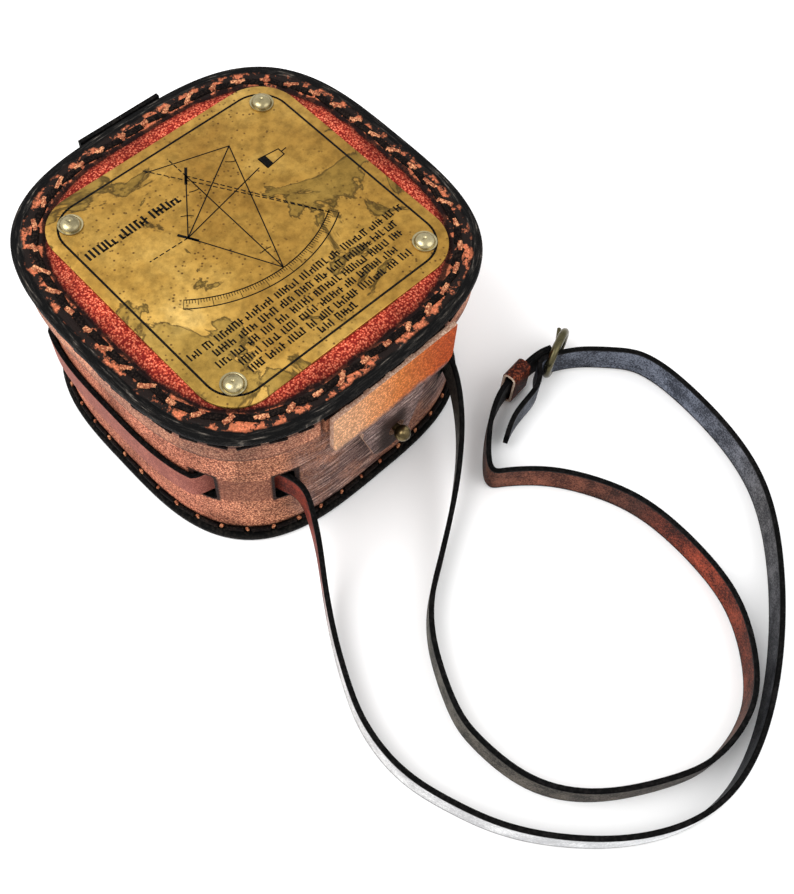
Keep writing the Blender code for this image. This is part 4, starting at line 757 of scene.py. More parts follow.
leftPath = eased(smoothRoute(leftRoute, strapSet["steps"]))
rightPath = eased(smoothRoute(rightRoute, strapSet["steps"]))
for strapName, strapPath, strapFaces, pointed in (("strap_left", leftPath, leftFaces, True),
                                                  ("strap_right", rightPath, rightFaces, False)):
    strapBody, strapRun = sweepStrap(strapPath, pointed)
    print(strapName, "runs", round(strapRun, 4), "m")
    showPiece(f"{strapName}_leather", strapBody, "case", [*strapFaces, finishes["paintedEdge"]],
                                       [strapName])


buckleSet = {
    "wire": 0.0016,
    "corner": 0.0066,
    "barRadius": 0.0009,
    "cornerSteps": 10,
    "turn": math.radians(20.5),
    "keeperTurn": math.radians(6),
    "keeperThick": 0.0014,
    "keeperRound": 0.0025,
    "keeperLength": 0.0090,
    "piping": 0.00045,
}


def roundedRectangle(width, depth, radius, steps):
    points = []
    for quarter, (sx, sy) in enumerate(((1, 1), (-1, 1), (-1, -1), (1, -1))):
        for step in range(steps + 1):
            angle = math.pi / 2 * (quarter + step / steps)
            points.append(Vector((sx * (width / 2 - radius) + radius * math.cos(angle),
                                  sy * (depth / 2 - radius) + radius * math.sin(angle))))
    return points


# Round wire along points, as a mesh, by a bevelled curve.
def wireLoop(points, radius, matrix, closed=True):
    data = bpy.data.curves.new("wire", "CURVE")
    data.dimensions = "3D"
    data.bevel_depth = radius
    data.bevel_resolution = 4
    data.use_fill_caps = True
    spline = data.splines.new("POLY")
    spline.points.add(len(points) - 1)
    spline.use_cyclic_u = closed
    for point, where in zip(spline.points, points):
        point.co = (*where, 1)
    item = bpy.data.objects.new("wire", data)
    bpy.context.scene.collection.objects.link(item)
    evaluated = item.evaluated_get(bpy.context.evaluated_depsgraph_get())
    bm = bmesh.new()
    bm.from_mesh(evaluated.to_mesh())
    evaluated.to_mesh_clear()
    bpy.data.objects.remove(item)
    bmesh.ops.transform(bm, matrix=matrix, verts=bm.verts)
    bmesh.ops.recalc_face_normals(bm, faces=bm.faces)
    return bm


def joinInto(bm, other):
    mesh = bpy.data.meshes.new("joined")
    other.to_mesh(mesh)
    other.free()
    bm.from_mesh(mesh)


def makeBuckle():
    low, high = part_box("buckle_frame")
    middle = Vector(((low.x + high.x) / 2, (low.y + high.y) / 2, (low.z + high.z) / 2))
    wire = buckleSet["wire"]
    place = Matrix.Translation(middle) @ Matrix.Rotation(buckleSet["turn"], 4, "Z")
    line = roundedRectangle(0.0200 - 2 * wire, high.z - low.z - 2 * wire, buckleSet["corner"], buckleSet["cornerSteps"])
    bm = wireLoop([(p.x, 0, p.y) for p in line], wire, place)
    reach = (high.z - low.z) / 2 - wire
    joinInto(bm, wireLoop([(0, 0, -reach), (0, 0, reach)], buckleSet["barRadius"], place, False))
    return showPiece("buckle_frame_cast", bm, "case", [finishes["darkBrass"]], ["buckle_frame"])


def makeKeeper():
    low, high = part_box("strap_keeper")
    middle = (low + high) / 2
    place = Matrix.Translation(middle) @ Matrix.Rotation(buckleSet["keeperTurn"], 4, "Z")
    tall = high.z - low.z
    thick = buckleSet["keeperThick"]
    curve = buckleSet["keeperRound"]
    deep = strapSet["thick"] + 2 * (0.0006 + thick)
    half = buckleSet["keeperLength"] / 2
    bm = bmesh.new()
    outer = [bm.verts.new((-half, p.x, p.y)) for p in roundedRectangle(deep, tall, curve, 8)]
    inner = [bm.verts.new((-half, p.x, p.y)) for p in roundedRectangle(deep - 2 * thick, tall - 2 * thick, curve - thick, 8)]
    loops = [[bm.edges.new((ring[i - 1], ring[i])) for i in range(len(ring))] for ring in (outer, inner)]
    base = bmesh.ops.bridge_loops(bm, edges=loops[0] + loops[1])["faces"]
    raised = bmesh.ops.extrude_face_region(bm, geom=base)["geom"]
    bmesh.ops.translate(bm, vec=(2 * half, 0, 0), verts=[v for v in raised if isinstance(v, bmesh.types.BMVert)])
    bmesh.ops.recalc_face_normals(bm, faces=bm.faces)
    bmesh.ops.transform(bm, matrix=place, verts=bm.verts)
    piping = wireLoop([(-half, p.x, p.y) for p in roundedRectangle(deep - thick, tall - thick, curve - thick / 2, 8)],
                      buckleSet["piping"], place)
    start = len(bm.faces)
    joinInto(bm, piping)
    bm.faces.ensure_lookup_table()
    for face in bm.faces[start:]:
        face.material_index = 1
    return showPiece("strap_keeper_leather", bm, "case", [finishes["keeper"], finishes["piping"]], ["strap_keeper"])


bucklePiece = makeBuckle()
keeperPiece = makeKeeper()
print("strap made")


caseSet = {
    "slotWidth": 0.0070,
    "slotPlay": 0.0018,
    "slotX": 0.0368,
    "slotY": 0.0400,
    "strapHeight": 0.0325,
    "wallThick": 0.0022,
    "stitchPitch": 0.0100,
}


# The case's front side at x = along: its y and the way its outside faces.
def outlineSide(half, along):
    y = -half * (1 - (abs(along) / half) ** cornerPower) ** (1 / cornerPower)
    normal = Vector((math.copysign(abs(along) ** (cornerPower - 1), along), -abs(y) ** (cornerPower - 1), 0))
    return y, normal.normalized()


def makeWall():
    half, low, high = halfOf("case_wall"), bottomOf("case_wall"), topOf("case_wall")
    inner = half - caseSet["wallThick"]
    edge = 0.0005
    outside = [(half, low + edge + (high - low - 2 * edge) * i / 14) for i in range(15)]
    inside = [(inner, high - edge - (high - low - 2 * edge) * i / 4) for i in range(5)]
    rings = [(half - edge, low)] + outside + [(half - edge, high), (inner + edge, high)] + inside + [(inner + edge, low)]
    bm = ringBody(rings, half, closed=True)
    cutters = bmesh.new()
    block = padMesh((4 * caseSet["wallThick"], caseSet["slotWidth"], strapSet["width"] + 2 * caseSet["slotPlay"]), 0.0014, 3)
    for quarter in range(4):
        slot = caseSet["slotX"] if quarter % 2 == 0 else caseSet["slotY"]
        for along in (-slot, slot):
            y, normal = outlineSide(half - caseSet["wallThick"] / 2, along)
            turn = Matrix.Rotation(quarter * math.pi / 2, 4, "Z") @ Matrix.Translation((along, y, caseSet["strapHeight"]))
            addCopy(cutters, block, turn @ Matrix.Rotation(math.atan2(normal.y, normal.x), 4, "Z"))
    bm = cutWith(bm, cutters)
    for face in bm.faces:
        middle = face.calc_center_median()
        outward = Vector((middle.x, middle.y, 0)).normalized()
        facing = face.normal.dot(outward)
        atSlot = abs(middle.z - caseSet["strapHeight"]) < strapSet["width"]
        if atSlot and abs(facing) < 0.6:
            face.material_index = 3
        elif abs(face.normal.z) > 0.6:
            face.material_index = 1
        elif facing < 0:
            face.material_index = 2
    return showPiece("case_wall_leather", bm, "case",
                     [finishes["tan"], finishes["cutEdge"], finishes["suede"], finishes["paintedEdge"]],
                     ["case_wall"])


def makeBottom():
    half, high = halfOf("case_bottom"), topOf("case_bottom")
    edge = 0.0007
    rings = [(half - edge, 0), (half, edge), (half, high - edge), (half - edge, high), (half - 0.005, high)]
    bm = ringBody(rings, half)
    for face in bm.faces:
        if face.normal.z > 0.9 and face.calc_area() > 0.001:
            face.material_index = 1
    return showPiece("case_bottom_leather", bm, "case", [finishes["black"], finishes["suede"]], ["case_bottom"])


# A row of flat lace stitches round the case's outline. tilt lays them on a side (90) or on the top (0).
def laceRow(name, half, height, pitch, size, tilt, body, material, nodes=(), shift=0.0, bend=0.0,
            lean=0.0, uneven=0.07):
    bm = bmesh.new()
    count = round(8 * half * 0.93 / pitch)
    pad = padMesh(size, min(size) * 0.42, 2, bend)
    rng = random.Random(11)
    for point, heading in aroundOutline(half, count, shift):
        jitter = Matrix.Rotation(math.radians(lean) + rng.uniform(-2 * uneven, 2 * uneven), 4, "Z")
        jitter = jitter @ Matrix.Scale(rng.uniform(1 - 2.5 * uneven, 1 + uneven), 4, (1, 0, 0))
        lay = Matrix.Rotation(math.radians(tilt), 4, "X")
        addCopy(bm, pad, Matrix.Translation((point.x, point.y, height)) @ Matrix.Rotation(heading, 4, "Z") @ lay @ jitter)
    bmesh.ops.recalc_face_normals(bm, faces=bm.faces)
    return showPiece(name, bm, body, [material], nodes, 60)


def makeCaseLacing():
    half = halfOf("case_bottom_lacing")
    low, high = bottomOf("case_bottom_lacing"), topOf("case_bottom_lacing")
    bm = ringBody([(half - 0.002, low), (half - 0.0002, low), (half + 0.0002, (low + high) / 2), (half - 0.0002, high),
                   (half - 0.002, high)], half, closed=True)
    showPiece("case_bottom_seam", bm, "case", [finishes["lace"]], ["case_bottom_lacing"])
    laceRow("case_bottom_stitches", half + 0.0008, low + 0.0016, caseSet["stitchPitch"], (0.0074, 0.0024, 0.0012), 90,
            "case", finishes["lace"])
    laceRow("case_bottom_ticks", half + 0.0007, low + 0.0018, caseSet["stitchPitch"], (0.0015, 0.0020, 0.0010), 90,
            "case", finishes["spot"], shift=0.5, uneven=0.2)


# The strap's middle line round the case in plan: outside each face, inside behind each corner.
def strapRound():
    low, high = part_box("strap_around_case")
    half = halfOf("case_wall")
    off = 0.0004 + strapSet["thick"] / 2
    outside, inside = half + off, half - caseSet["wallThick"] - off
    start, span = math.radians(-136.4), 2 * math.pi - 2 * (math.pi / 2 + math.radians(136.4) - math.pi)
    points = []
    steps = 264
    for index in range(steps + 1):
        angle = start - span * index / steps
        c, s = math.cos(angle), math.sin(angle)
        unit = 1 / (abs(c) ** cornerPower + abs(s) ** cornerPower) ** (1 / cornerPower)
        along, slot = (abs(c), caseSet["slotX"]) if abs(s) > abs(c) else (abs(s), caseSet["slotY"])
        share = min(1, max(0, (along * unit * half - slot) / 0.0070 + 0.5))
        reach = outside + (inside - outside) * share * share * (3 - 2 * share)
        points.append(Vector((reach * unit * c, reach * unit * s, (low.z + high.z) / 2)))
    return points


def makeStrapRound():
    bm, _ = sweepStrap(strapRound(), False)
    showPiece("strap_band_leather", bm, "case", [finishes["suede"], finishes["band"], finishes["paintedEdge"]],
              ["strap_around_case"])


makeWall()
makeBottom()
makeCaseLacing()
makeStrapRound()
print("case made")


lidSet = {
    "rimRound": 0.0009,
    "creaseInset": 0.0096,
    "creaseDepth": 0.0005,
    "puff": 0.0009,
    "laceInset": 0.0070,
    "skirtThick": 0.0020,
    "plateCorner": 0.0150,
    "plateEdge": 0.00025,
    "rivetRadius": 0.0042,
    "domeShare": 0.80,                  # the dome inside its flange
    "flangeRise": 0.0005,
}


def makePanel():
    half, low, high = halfOf("lid_panel"), bottomOf("lid_panel"), topOf("lid_panel")
    r = lidSet["rimRound"]
    crease = half - lidSet["creaseInset"]
    rings = [(half - 0.006, low), (half - r, low), (half - 0.3 * r, low + 0.3 * r), (half, low + r)]
    rings += [(half, high - r), (half - 0.3 * r, high - 0.3 * r), (half - r, high), (half - 0.0030, high)]
    rings += [(half - 0.0034, high - 0.0002), (half - 0.0040, high)]
    rings += [(half - 0.0040 - 0.0045 * i / 4, high) for i in (1, 2, 3, 4)]
    rings += [(crease + 0.0004, high - lidSet["creaseDepth"] * 0.5), (crease, high - lidSet["creaseDepth"])]
    for step in range(1, 9):
        share = step / 8
        rings.append((crease - 0.0072 * share, high - lidSet["creaseDepth"] * (1 - share) + lidSet["puff"]
                      * math.sin(math.pi * share) ** 0.8))
    rings.append((crease - 0.012, high))
    bm = ringBody(rings, half)
    for face in bm.faces:
        if face.normal.z < -0.9:
            face.material_index = 1
    return showPiece("lid_panel_leather", bm, "lid", [finishes["red"], finishes["suede"]], ["lid_panel"])


def makeSkirt():
    half, low, high = halfOf("lid_skirt"), bottomOf("lid_skirt"), topOf("lid_skirt")
    inner, edge = half - lidSet["skirtThick"], 0.0005
    rings = [(half - edge, low)] + [(half, low + edge + (high - low - 2 * edge) * i / 5) for i in range(6)]
    rings += [(half - edge, high), (inner + edge, high), (inner, high - edge), (inner, low + edge), (inner + edge, low)]
    bm = ringBody(rings, half, closed=True)
    flapLow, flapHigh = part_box("closure_flap")
    cutters = bmesh.new()
    gap = padMesh((0.0020, 0.012, 0.030), 0.0003, 1)
    addCopy(cutters, gap, Matrix.Translation((flapLow.x - 0.0014, -half, (low + high) / 2)))
    bm = cutWith(bm, cutters)
    for face in bm.faces:
        middle = face.calc_center_median()
        facing = face.normal.x * middle.x + face.normal.y * middle.y
        if abs(face.normal.z) > 0.6:
            face.material_index = 1
        elif facing < 0:
            face.material_index = 2
    return showPiece("lid_skirt_leather", bm, "lid", [finishes["skirt"], finishes["cutEdge"], finishes["suede"]],
                     ["lid_skirt"])


def makeLidLacing():
    half, low, high = halfOf("lid_lacing"), bottomOf("lid_lacing"), topOf("lid_lacing")
    bm = ringBody([(half - 0.002, low), (half - 0.0002, low), (half + 0.0002, (low + high) / 2), (half - 0.0002, high),
                   (half - 0.002, high)], half, closed=True)
    showPiece("lid_seam", bm, "lid", [finishes["lace"]], ["lid_lacing"])
    top = topOf("lid_panel")
    ring = halfOf("lid_panel") - lidSet["laceInset"]
    laceRow("lid_top_stitches", ring, top + 0.0001, caseSet["stitchPitch"], (0.0086, 0.0024, 0.0010), 0, "lid",
            finishes["lace"], bend=0.0004, lean=-4)
    laceRow("lid_top_spots", ring + 0.0004, top + 0.0002, caseSet["stitchPitch"], (0.0054, 0.0017, 0.0009), 0, "lid",
            finishes["spot"], shift=0.5, bend=0.0003, lean=18, uneven=0.18)
    laceRow("lid_skirt_stitches", half + 0.0004, high - 0.0016, caseSet["stitchPitch"], (0.0074, 0.0012, 0.0007), 90,
            "lid", finishes["lace"], shift=0.25, uneven=0.12)


def makePlate():
    low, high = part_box("brass_plate")
    bm = bmesh.new()
    line = roundedRectangle(high.x - low.x, high.y - low.y, lidSet["plateCorner"], 16)
    face = bm.faces.new([bm.verts.new((p.x, p.y, low.z)) for p in line])
    raised = bmesh.ops.extrude_face_region(bm, geom=[face])["geom"]
    bmesh.ops.translate(bm, vec=(0, 0, high.z - low.z), verts=[v for v in raised if isinstance(v, bmesh.types.BMVert)])
    bmesh.ops.recalc_face_normals(bm, faces=bm.faces)
    rim = [e for e in bm.edges if all(abs(v.co.z - high.z) < 1e-7 for v in e.verts)]
    bmesh.ops.bevel(bm, geom=rim, offset=lidSet["plateEdge"], offset_type="OFFSET", segments=3, profile=0.5,
                    affect="EDGES", material=-1)
    showPiece("name_plate", bm, "lid", [finishes["plate"]], ["brass_plate"])


def makeRivets():
    for number in range(1, 5):
        low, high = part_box(f"plate_rivet_{number}")
        seat, radius = topOf("brass_plate"), lidSet["rivetRadius"]
        rise = high.z - seat
        dome = radius * lidSet["domeShare"]
        flange = seat + lidSet["flangeRise"]
        profile = [(0.0012, seat - 0.0006), (radius * 0.97, seat + 0.00002), (radius, seat + 0.0001)]
        profile += [(radius * 0.98, flange), (dome * 1.08, flange), (dome * 1.02, flange - 0.0001)]
        profile += [(dome * math.cos(math.radians(a)), flange + (seat + rise - flange) * math.sin(math.radians(a)))
                    for a in (4, 14, 26, 38, 50, 62, 74)]
        profile += [(0.0006, seat + rise - 0.0001), (0.0003, seat + rise - 0.0004), (0, seat + rise - 0.0005)]
        bm = turnedBody(profile, 40)
        tail = turnedBody(((0, low.z), (0.0024, low.z), (0.0028, low.z + 0.0004), (0.0028, low.z + 0.0012), (0, low.z + 0.0012)), 32)
        joinInto(bm, tail)
        where = ((low.x + high.x) / 2, (low.y + high.y) / 2, 0)
        bmesh.ops.translate(bm, vec=where, verts=bm.verts)
        showPiece(f"rivet_head_{number}", bm, "lid", [finishes["rivet"]], [f"plate_rivet_{number}"])


# engraving: a border, a light-path drawing, an arc with divisions, and rows of strokes in place of words.
# Places are millimetres from the plate's middle.
engraving = {
    "line": 0.42,
    "borderInset": 4.0,
    "borderLine": 0.75,
    "depth": 0.05,
    "apex": (19.2, 32.5),
    "upperMirror": (0.2, 31.8),
    "lowerMirror": (-15.4, 11.4),
    "telescope": (26.5, 19.2),
    "crossing": (-0.4, -17.4),
    "dashedEnd": (25.5, -10.8),
    "arcCentre": (-0.5, 32.0),
    "arcRadius": 49.5,
    "arcBand": 3.4,
    "arcFrom": -129,
    "arcTo": -58,
    "arcSteps": 70,
    "title": ((-43.5, 24.7), 35.0, 3.3),
    "rows": (((-43.8, -25.4), 88.0), ((-37.0, -29.2), 75.0), ((-39.0, -33.0), 77.5), ((-33.2, -36.8), 66.5),
             ((-32.6, -40.6), 66.3), ((-7.8, -44.0), 15.0)),
    "rowHeight": 2.5,
}


# One flat stroke from start to end.
def inkStroke(bm, start, end, width):
    a, b = Vector(start), Vector(end)
    run = b - a
    top = topOf("brass_plate")
    made = bmesh.ops.create_cube(bm, size=1)["verts"]
    size = ((run.length + width * 0.5) * millimetre, width * millimetre, engraving["depth"] * millimetre)
    bmesh.ops.scale(bm, vec=size, verts=made)
    middle = (a + b) / 2 * millimetre
    place = Matrix.Translation((middle.x, middle.y, top + 0.00001)) @ Matrix.Rotation(math.atan2(run.y, run.x), 4, "Z")
    bmesh.ops.transform(bm, matrix=place, verts=made)


def inkDashes(bm, start, end, width, dash=1.4, gap=1.0):
    a, b = Vector(start), Vector(end)
    run = (b - a).length
    ahead = (b - a) / run
    at = 0.0
    while at < run:
        inkStroke(bm, a + ahead * at, a + ahead * min(run, at + dash), width)
        at += dash + gap


# Strokes in groups, with no letter among them.
def inkRow(bm, start, length, height, rng, weight):
    x, y = start
    end = x + length
    while x < end - 1:
        for _ in range(rng.randint(3, 9)):
            tall = height * rng.choice((1.0, 1.0, 0.86, 0.6))
            inkStroke(bm, (x, y), (x, y + tall), weight)
            if rng.random() < 0.5:
                level = y + tall * rng.choice((0.06, 0.5, 0.94))
                inkStroke(bm, (x, level), (x + height * 0.30, level), weight * 0.8)
            x += height * rng.uniform(0.40, 0.54)
            if x > end:
                break
        x += height * 0.5


def inkArc(bm, centre, radius, start, end, width, steps=40):
    points = [(centre[0] + radius * math.cos(math.radians(start + (end - start) * i / steps)),
               centre[1] + radius * math.sin(math.radians(start + (end - start) * i / steps))) for i in range(steps + 1)]
    for a, b in zip(points, points[1:]):
        inkStroke(bm, a, b, width)


def makeEngraving():
    e = engraving
    bm = bmesh.new()
    rng = random.Random(5)
    inset = 2 * e["borderInset"] * millimetre
    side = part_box("brass_plate")[1].x * 2
    line = [p / millimetre for p in roundedRectangle(side - inset, side - inset, lidSet["plateCorner"] - inset / 2, 14)]
    for a, b in zip(line, line[1:] + line[:1]):
        if (b - a).length > 1e-6:
            inkStroke(bm, a, b, e["borderLine"])
    upper, lower, crossing = e["upperMirror"], e["lowerMirror"], e["crossing"]
    for a, b in ((e["apex"], lower), (e["apex"], (-8.9, 41.5)), (upper, crossing), (lower, crossing), (upper, lower),
                 (lower, (20.5, 18.6)), (e["apex"], crossing)):
        inkStroke(bm, a, b, e["line"])
    for a, b in (((-8.9, 42.7), e["dashedEnd"]), (upper, e["dashedEnd"]), (lower, (-30.3, 11.9)), (upper, (0.2, 41.5))):
        inkDashes(bm, a, b, e["line"])
    for middle, lean in ((upper, 0.9), (lower, 2.1)):
        reach = Vector((math.cos(lean), math.sin(lean))) * 3.4
        inkStroke(bm, Vector(middle) - reach, Vector(middle) + reach, 1.0)
    tx, ty = e["telescope"]
    for share in range(9):
        inkStroke(bm, (tx - 3.6, ty - 2.1 + 0.52 * share), (tx - 1.2, ty - 1.8 + 0.46 * share), 0.55)
    inkStroke(bm, (tx - 3.8, ty - 2.5), (tx - 3.8, ty + 2.5), e["line"])
    for sign in (-1, 1):
        inkStroke(bm, (tx - 3.8, ty + sign * 2.5), (tx + 4.2, ty + sign * 1.5), e["line"])
    inkStroke(bm, (tx + 4.2, ty - 1.5), (tx + 4.2, ty + 1.5), e["line"])
    inkStroke(bm, (tx + 4.2, ty), (tx + 6.4, ty + 0.2), e["line"])
    for centre, radius, a, b in ((upper, 7, -120, -92), (crossing, 9, 75, 98), (lower, 9, 40, 66), (e["apex"], 7, -140, -112)):
        inkArc(bm, centre, radius, a, b, e["line"] * 0.8, 8)
    for radius in (e["arcRadius"], e["arcRadius"] + e["arcBand"]):
        inkArc(bm, e["arcCentre"], radius, e["arcFrom"], e["arcTo"], e["line"])
    for step in range(e["arcSteps"] + 1):
        angle = math.radians(e["arcFrom"] + (e["arcTo"] - e["arcFrom"]) * step / e["arcSteps"])
        long = 1.0 if step % 10 == 0 else 0.62 if step % 5 == 0 else 0.4
        ends = [(e["arcCentre"][0] + r * math.cos(angle), e["arcCentre"][1] + r * math.sin(angle))
                for r in (e["arcRadius"], e["arcRadius"] + e["arcBand"] * long)]
        inkStroke(bm, *ends, 0.2)
    titleStart, titleLength, titleHeight = e["title"]
    inkRow(bm, titleStart, titleLength, titleHeight, rng, 0.85)
    for start, length in e["rows"]:
        inkRow(bm, start, length, e["rowHeight"], rng, 0.58)
    showPiece("plate_engraving", bm, "lid", [finishes["ink"]])


makePanel()
makeSkirt()
makeLidLacing()
makePlate()
makeRivets()
makeEngraving()
print("lid made")


hingeSet = {"thick": 0.0015, "foldLow": 0.0050, "foldHigh": 0.0016}
flapSet = {"shoulder": 0.0212, "corner": 0.0050, "tongueTop": 0.0290, "tongueEnd": 0.0170, "bevel": 0.0004,
           "holeRadius": 0.0034}


# One strip of leather down the back, from the lid over the fold to the case.
def makeHinge():
    lidLow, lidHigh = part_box("hinge_leaf_lid")
    caseLow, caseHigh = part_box("hinge_leaf_case")
    fold = lidLow.z
    thick = hingeSet["thick"]
    line = [(lidLow.y, lidHigh.z - (lidHigh.z - fold - hingeSet["foldHigh"]) * i / 6) for i in range(7)]
    line += [((lidLow.y + (caseLow.y - lidLow.y) * (0.5 - 0.5 * math.cos(math.pi * i / 8))),
              fold + hingeSet["foldHigh"] - (hingeSet["foldHigh"] + hingeSet["foldLow"]) * i / 8) for i in range(1, 9)]
    line += [(caseLow.y, fold - hingeSet["foldLow"] - (fold - hingeSet["foldLow"] - caseLow.z) * i / 6) for i in range(1, 7)]
    bm = bmesh.new()
    verts = [bm.verts.new((lidLow.x, y, z)) for y, z in line]
    edges = [bm.edges.new(pair) for pair in zip(verts, verts[1:])]
    for _ in range(8):
        grown = bmesh.ops.extrude_edge_only(bm, edges=edges)["geom"]
        fresh = [item for item in grown if isinstance(item, bmesh.types.BMVert)]
        bmesh.ops.translate(bm, vec=((lidHigh.x - lidLow.x) / 8, 0, 0), verts=fresh)
        edges = [e for e in grown if isinstance(e, bmesh.types.BMEdge) and all(v in fresh for v in e.verts)]
    bmesh.ops.recalc_face_normals(bm, faces=bm.faces)
    if sum(f.normal.y for f in bm.faces) < 0:
        bmesh.ops.reverse_faces(bm, faces=bm.faces)
    bmesh.ops.solidify(bm, geom=bm.faces, thickness=-thick)
    bmesh.ops.recalc_face_normals(bm, faces=bm.faces)
    piece = showPiece("hinge_leather", bm, None, [finishes["black"]], ["hinge_leaf_lid", "hinge_leaf_case"],
                      riding=False)
    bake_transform(piece)


# Orange-tan at the left shoulder to red at the right; the tongue weathered dark, stained above the stud.
def flapFinish():
    material, tree, shader, spot = newFinish("flap_leather", 0.58)
    grain = grainOf(tree, spot, 1100)
    x, y, z = partsOf(tree, spot)
    drift = mathOf(tree, "MULTIPLY", noiseOf(tree, spot, 80, 4), 0.012)
    along = between(tree, mathOf(tree, "ADD", x, drift), -0.024, 0.034)
    warm = rampOf(tree, along, ((0.0, (0.92, 0.52, 0.30)), (0.30, (0.92, 0.40, 0.17)), (0.62, (0.80, 0.25, 0.065)),
                                (1.0, (0.55, 0.09, 0.020))))
    creased = greyRamp(tree, grain, ((0.15, 1.10), (0.60, 0.50)))
    fine = greyRamp(tree, noiseOf(tree, spot, 2000, 2), ((0.30, 0.66), (0.68, 1.18)))
    colour = mixOf(tree, 1.0, mixOf(tree, 1.0, warm, creased, "MULTIPLY"), fine, "MULTIPLY")
    streaks = noiseOf(tree, stretched(tree, spot, (90, 90, 1300)), 1, 7, 0.74)
    grey = rampOf(tree, streaks, ((0.36, (0.016, 0.011, 0.011)), (0.47, (0.105, 0.068, 0.064)),
                                  (0.55, (0.24, 0.155, 0.135)), (0.66, (0.60, 0.47, 0.42))))
    grey = mixOf(tree, 1.0, grey, greyRamp(tree, noiseOf(tree, spot, 1600, 3), ((0.36, 0.5), (0.62, 1.3))), "MULTIPLY")
    wavy = mathOf(tree, "ADD", z, mathOf(tree, "MULTIPLY", noiseOf(tree, spot, 90, 3), 0.008))
    colour = mixOf(tree, between(tree, wavy, 0.0570, 0.0520), colour, grey)
    beside = mathOf(tree, "MULTIPLY", between(tree, x, -0.008, -0.001), between(tree, x, 0.011, 0.006))
    stain = mathOf(tree, "MULTIPLY", between(tree, z, 0.0480, 0.0400), beside)
    colour = mixOf(tree, mathOf(tree, "MULTIPLY", stain, 0.94), colour, (0.016, 0.008, 0.006))
    tree.links.new(colour, shader.inputs["Base Color"])
    addBump(tree, shader, grain, 0.35, -0.0003)
    return material


def makeFlap():
    low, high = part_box("closure_flap")
    centre, half = (low.x + high.x) / 2, (high.x - low.x) / 2
    drop = high.z - low.z
    corner, shoulder = flapSet["corner"], flapSet["shoulder"]
    top, end = flapSet["tongueTop"] / 2, flapSet["tongueEnd"] / 2
    right = [(half, 0)]
    right += [(half - corner * (1 - math.cos(a)), -shoulder + corner * (1 - math.sin(a)))
              for a in [math.pi / 2 * i / 6 for i in range(7)]]
    right += [(top, -shoulder), (top - 0.0012, -shoulder - 0.0022), (top - 0.0008, -shoulder - 0.0050)]
    right += [(end * math.cos(a), -drop + end * 0.6 * (1 - math.sin(a))) for a in [math.pi / 2 * i / 8 for i in range(8)]]
    line = right + [(0, -drop)] + [(-x, z) for x, z in reversed(right)]
    bm = bmesh.new()
    bm.faces.new([bm.verts.new((centre + x, low.y, high.z + z)) for x, z in line])
    for step in range(1, 24):
        bmesh.ops.bisect_plane(bm, geom=bm.verts[:] + bm.edges[:] + bm.faces[:], plane_no=(0, 0, 1),
                               plane_co=(0, 0, high.z - drop * step / 24))
    for step in range(1, 16):
        bmesh.ops.bisect_plane(bm, geom=bm.verts[:] + bm.edges[:] + bm.faces[:], plane_no=(1, 0, 0),
                               plane_co=(low.x + 2 * half * step / 16, 0, 0))
    raised = bmesh.ops.extrude_face_region(bm, geom=bm.faces[:])["geom"]
    bmesh.ops.translate(bm, vec=(0, high.y - low.y, 0), verts=[v for v in raised if isinstance(v, bmesh.types.BMVert)])
    bmesh.ops.recalc_face_normals(bm, faces=bm.faces)
    rim = [e for e in bm.edges if len(e.link_faces) == 2 and e.calc_face_angle(0) > 1]
    bmesh.ops.bevel(bm, geom=rim, offset=flapSet["bevel"], offset_type="OFFSET", segments=2, profile=0.5,
                    affect="EDGES", material=-1, clamp_overlap=True)
    studLow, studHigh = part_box("closure_stud")
    hole = turnedBody(((0, -0.01), (flapSet["holeRadius"], -0.01), (flapSet["holeRadius"], 0.01), (0, 0.01)), 28)
    place = Matrix.Translation(((studLow.x + studHigh.x) / 2, low.y, (studLow.z + studHigh.z) / 2))
    bmesh.ops.transform(hole, matrix=place @ Matrix.Rotation(math.pi / 2, 4, "X"), verts=hole.verts)
    bm = cutWith(bm, hole)
    for face in bm.faces:
        if abs(face.normal.y) < 0.8:
            face.material_index = 1
    return showPiece("closure_flap_leather", bm, "flap", [flapFinish(), finishes["cutEdge"]], ["closure_flap"])


# The designed solid, its triangles merged to clean faces and its hard edges broken.
def refined(node, material, bevel=0.00018, angle=32):
    bm = bmesh.new()
    bm.from_mesh(frame["nodes"][node].data)
    bmesh.ops.remove_doubles(bm, verts=bm.verts, dist=2e-6)
    bmesh.ops.dissolve_limit(bm, angle_limit=math.radians(0.5), verts=bm.verts, edges=bm.edges)
    if bevel:
        sharp = [e for e in bm.edges                   # breaking an inner corner would add metal
                 if len(e.link_faces) == 2 and e.is_convex and e.calc_face_angle(0) > math.radians(50)]
        bmesh.ops.bevel(bm, geom=sharp, offset=bevel, offset_type="OFFSET", segments=2, profile=0.5,
                        affect="EDGES", material=-1, clamp_overlap=True)
    return showPiece(f"{node}_finished", bm, frame["nodes"][node]["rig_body"], [material], [node], angle)


makeHinge()
makeFlap()
for node in ("closure_stud", "stud_backing"):
    refined(node, finishes["stud"], 0)
for place in frame["nodes"]["buckle_prong"].material_slots:
    place.material = finishes["darkBrass"]
print("hinge, flap and stud made")


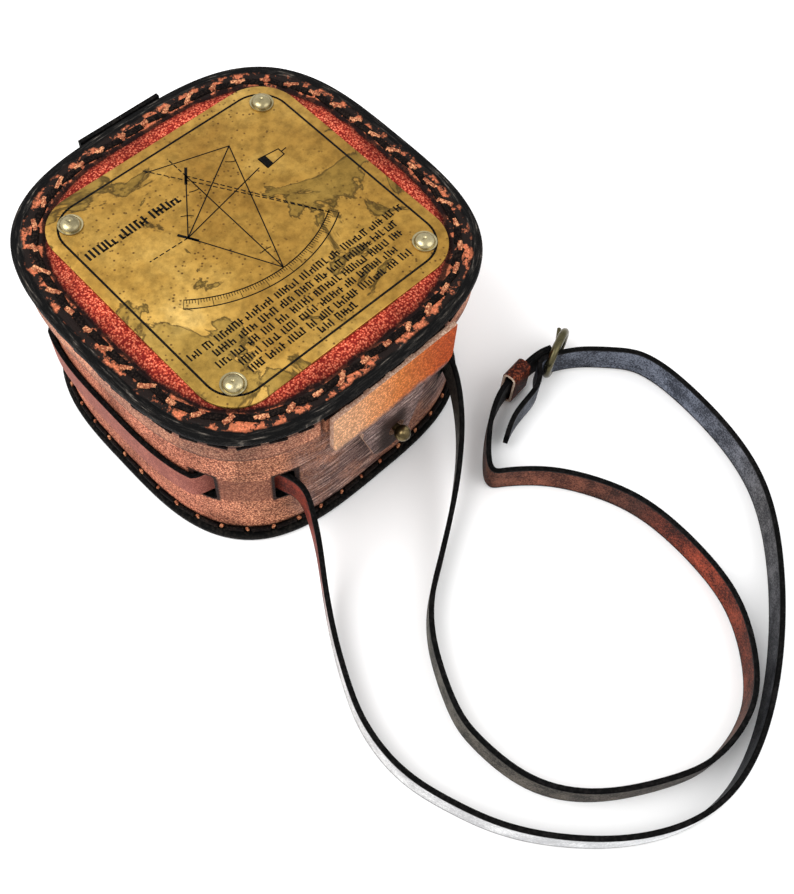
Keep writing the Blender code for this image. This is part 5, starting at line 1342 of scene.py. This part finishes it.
instrument = {
    "silvered": ("arc_scale", "vernier"),
    "mirror": ("index_mirror", "horizon_mirror"),
    "glass": ("objective_lens", "eyepiece_lens"),
    "shade": ("index_shade_1_glass", "index_shade_2_glass", "horizon_shade_glass"),
    "wood": ("handle_grip",),
}
kindOf = {node: kind for kind, members in instrument.items() for node in members}
instrumentBodies = ("sextant", "index", "clamp", "tangent", "draw_tube", "first_shade", "second_shade", "third_shade")
for body in instrumentBodies:
    for node in frame["record"]["behaviour"]["bodies"][body]:
        kind = kindOf.get(node, "brass")
        refined(node, finishes[kind], 0.0002 if kind in ("brass", "wood") else 0)


# Cut divisions on the arc, every degree of arm swing and longer every five.
def makeDivisions():
    low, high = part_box("arc_scale")
    pivot = Vector((0, 0.042))
    outer = pivot.y - low.y
    bm = bmesh.new()
    for step in range(-31, 32):
        angle = math.radians(step)
        long = 0.0044 if step % 5 == 0 else 0.0026
        made = bmesh.ops.create_cube(bm, size=1)["verts"]
        bmesh.ops.scale(bm, vec=(0.00022, long, 0.00006), verts=made)
        place = Matrix.Translation((0, pivot.y, high.z + 0.00002)) @ Matrix.Rotation(angle, 4, "Z")
        bmesh.ops.transform(bm, matrix=place @ Matrix.Translation((0, -outer + 0.0006 + long / 2, 0)), verts=made)
    showPiece("arc_divisions", bm, "sextant", [finishes["ink"]])


makeDivisions()
print("instrument made")


def makeStage():
    floor = bmesh.new()
    bmesh.ops.create_grid(floor, x_segments=1, y_segments=1, size=3)
    mesh = bpy.data.meshes.new("floor")
    floor.to_mesh(mesh)
    floor.free()
    piece = bpy.data.objects.new("floor", mesh)
    piece.location = (0, 0, -0.0001)
    bpy.context.scene.collection.objects.link(piece)
    material, tree, shader, spot = newFinish("floor_paper", 0.9)
    tree.links.new(rampOf(tree, noiseOf(tree, spot, 3), ((0.2, (0.93, 0.93, 0.93)), (0.8, (0.97, 0.97, 0.97)))), shader.inputs["Base Color"])
    mesh.materials.append(material)
    world = bpy.data.worlds.new("studio")
    bpy.context.scene.world = world
    world.use_nodes = True
    world.node_tree.nodes["Background"].inputs[0].default_value = (1, 1, 1, 1)
    world.node_tree.nodes["Background"].inputs[1].default_value = 1.0
    makeLight("key", 0.7, 6.0, (-0.45, 0.15, 0.75), (0, 0, 0.03))
    makeLight("fill", 0.9, 3.0, (0.35, -0.7, 0.7), (0, -0.05, 0.02))
    bpy.context.scene.view_settings.view_transform = "Standard"


makeStage()
print("done")
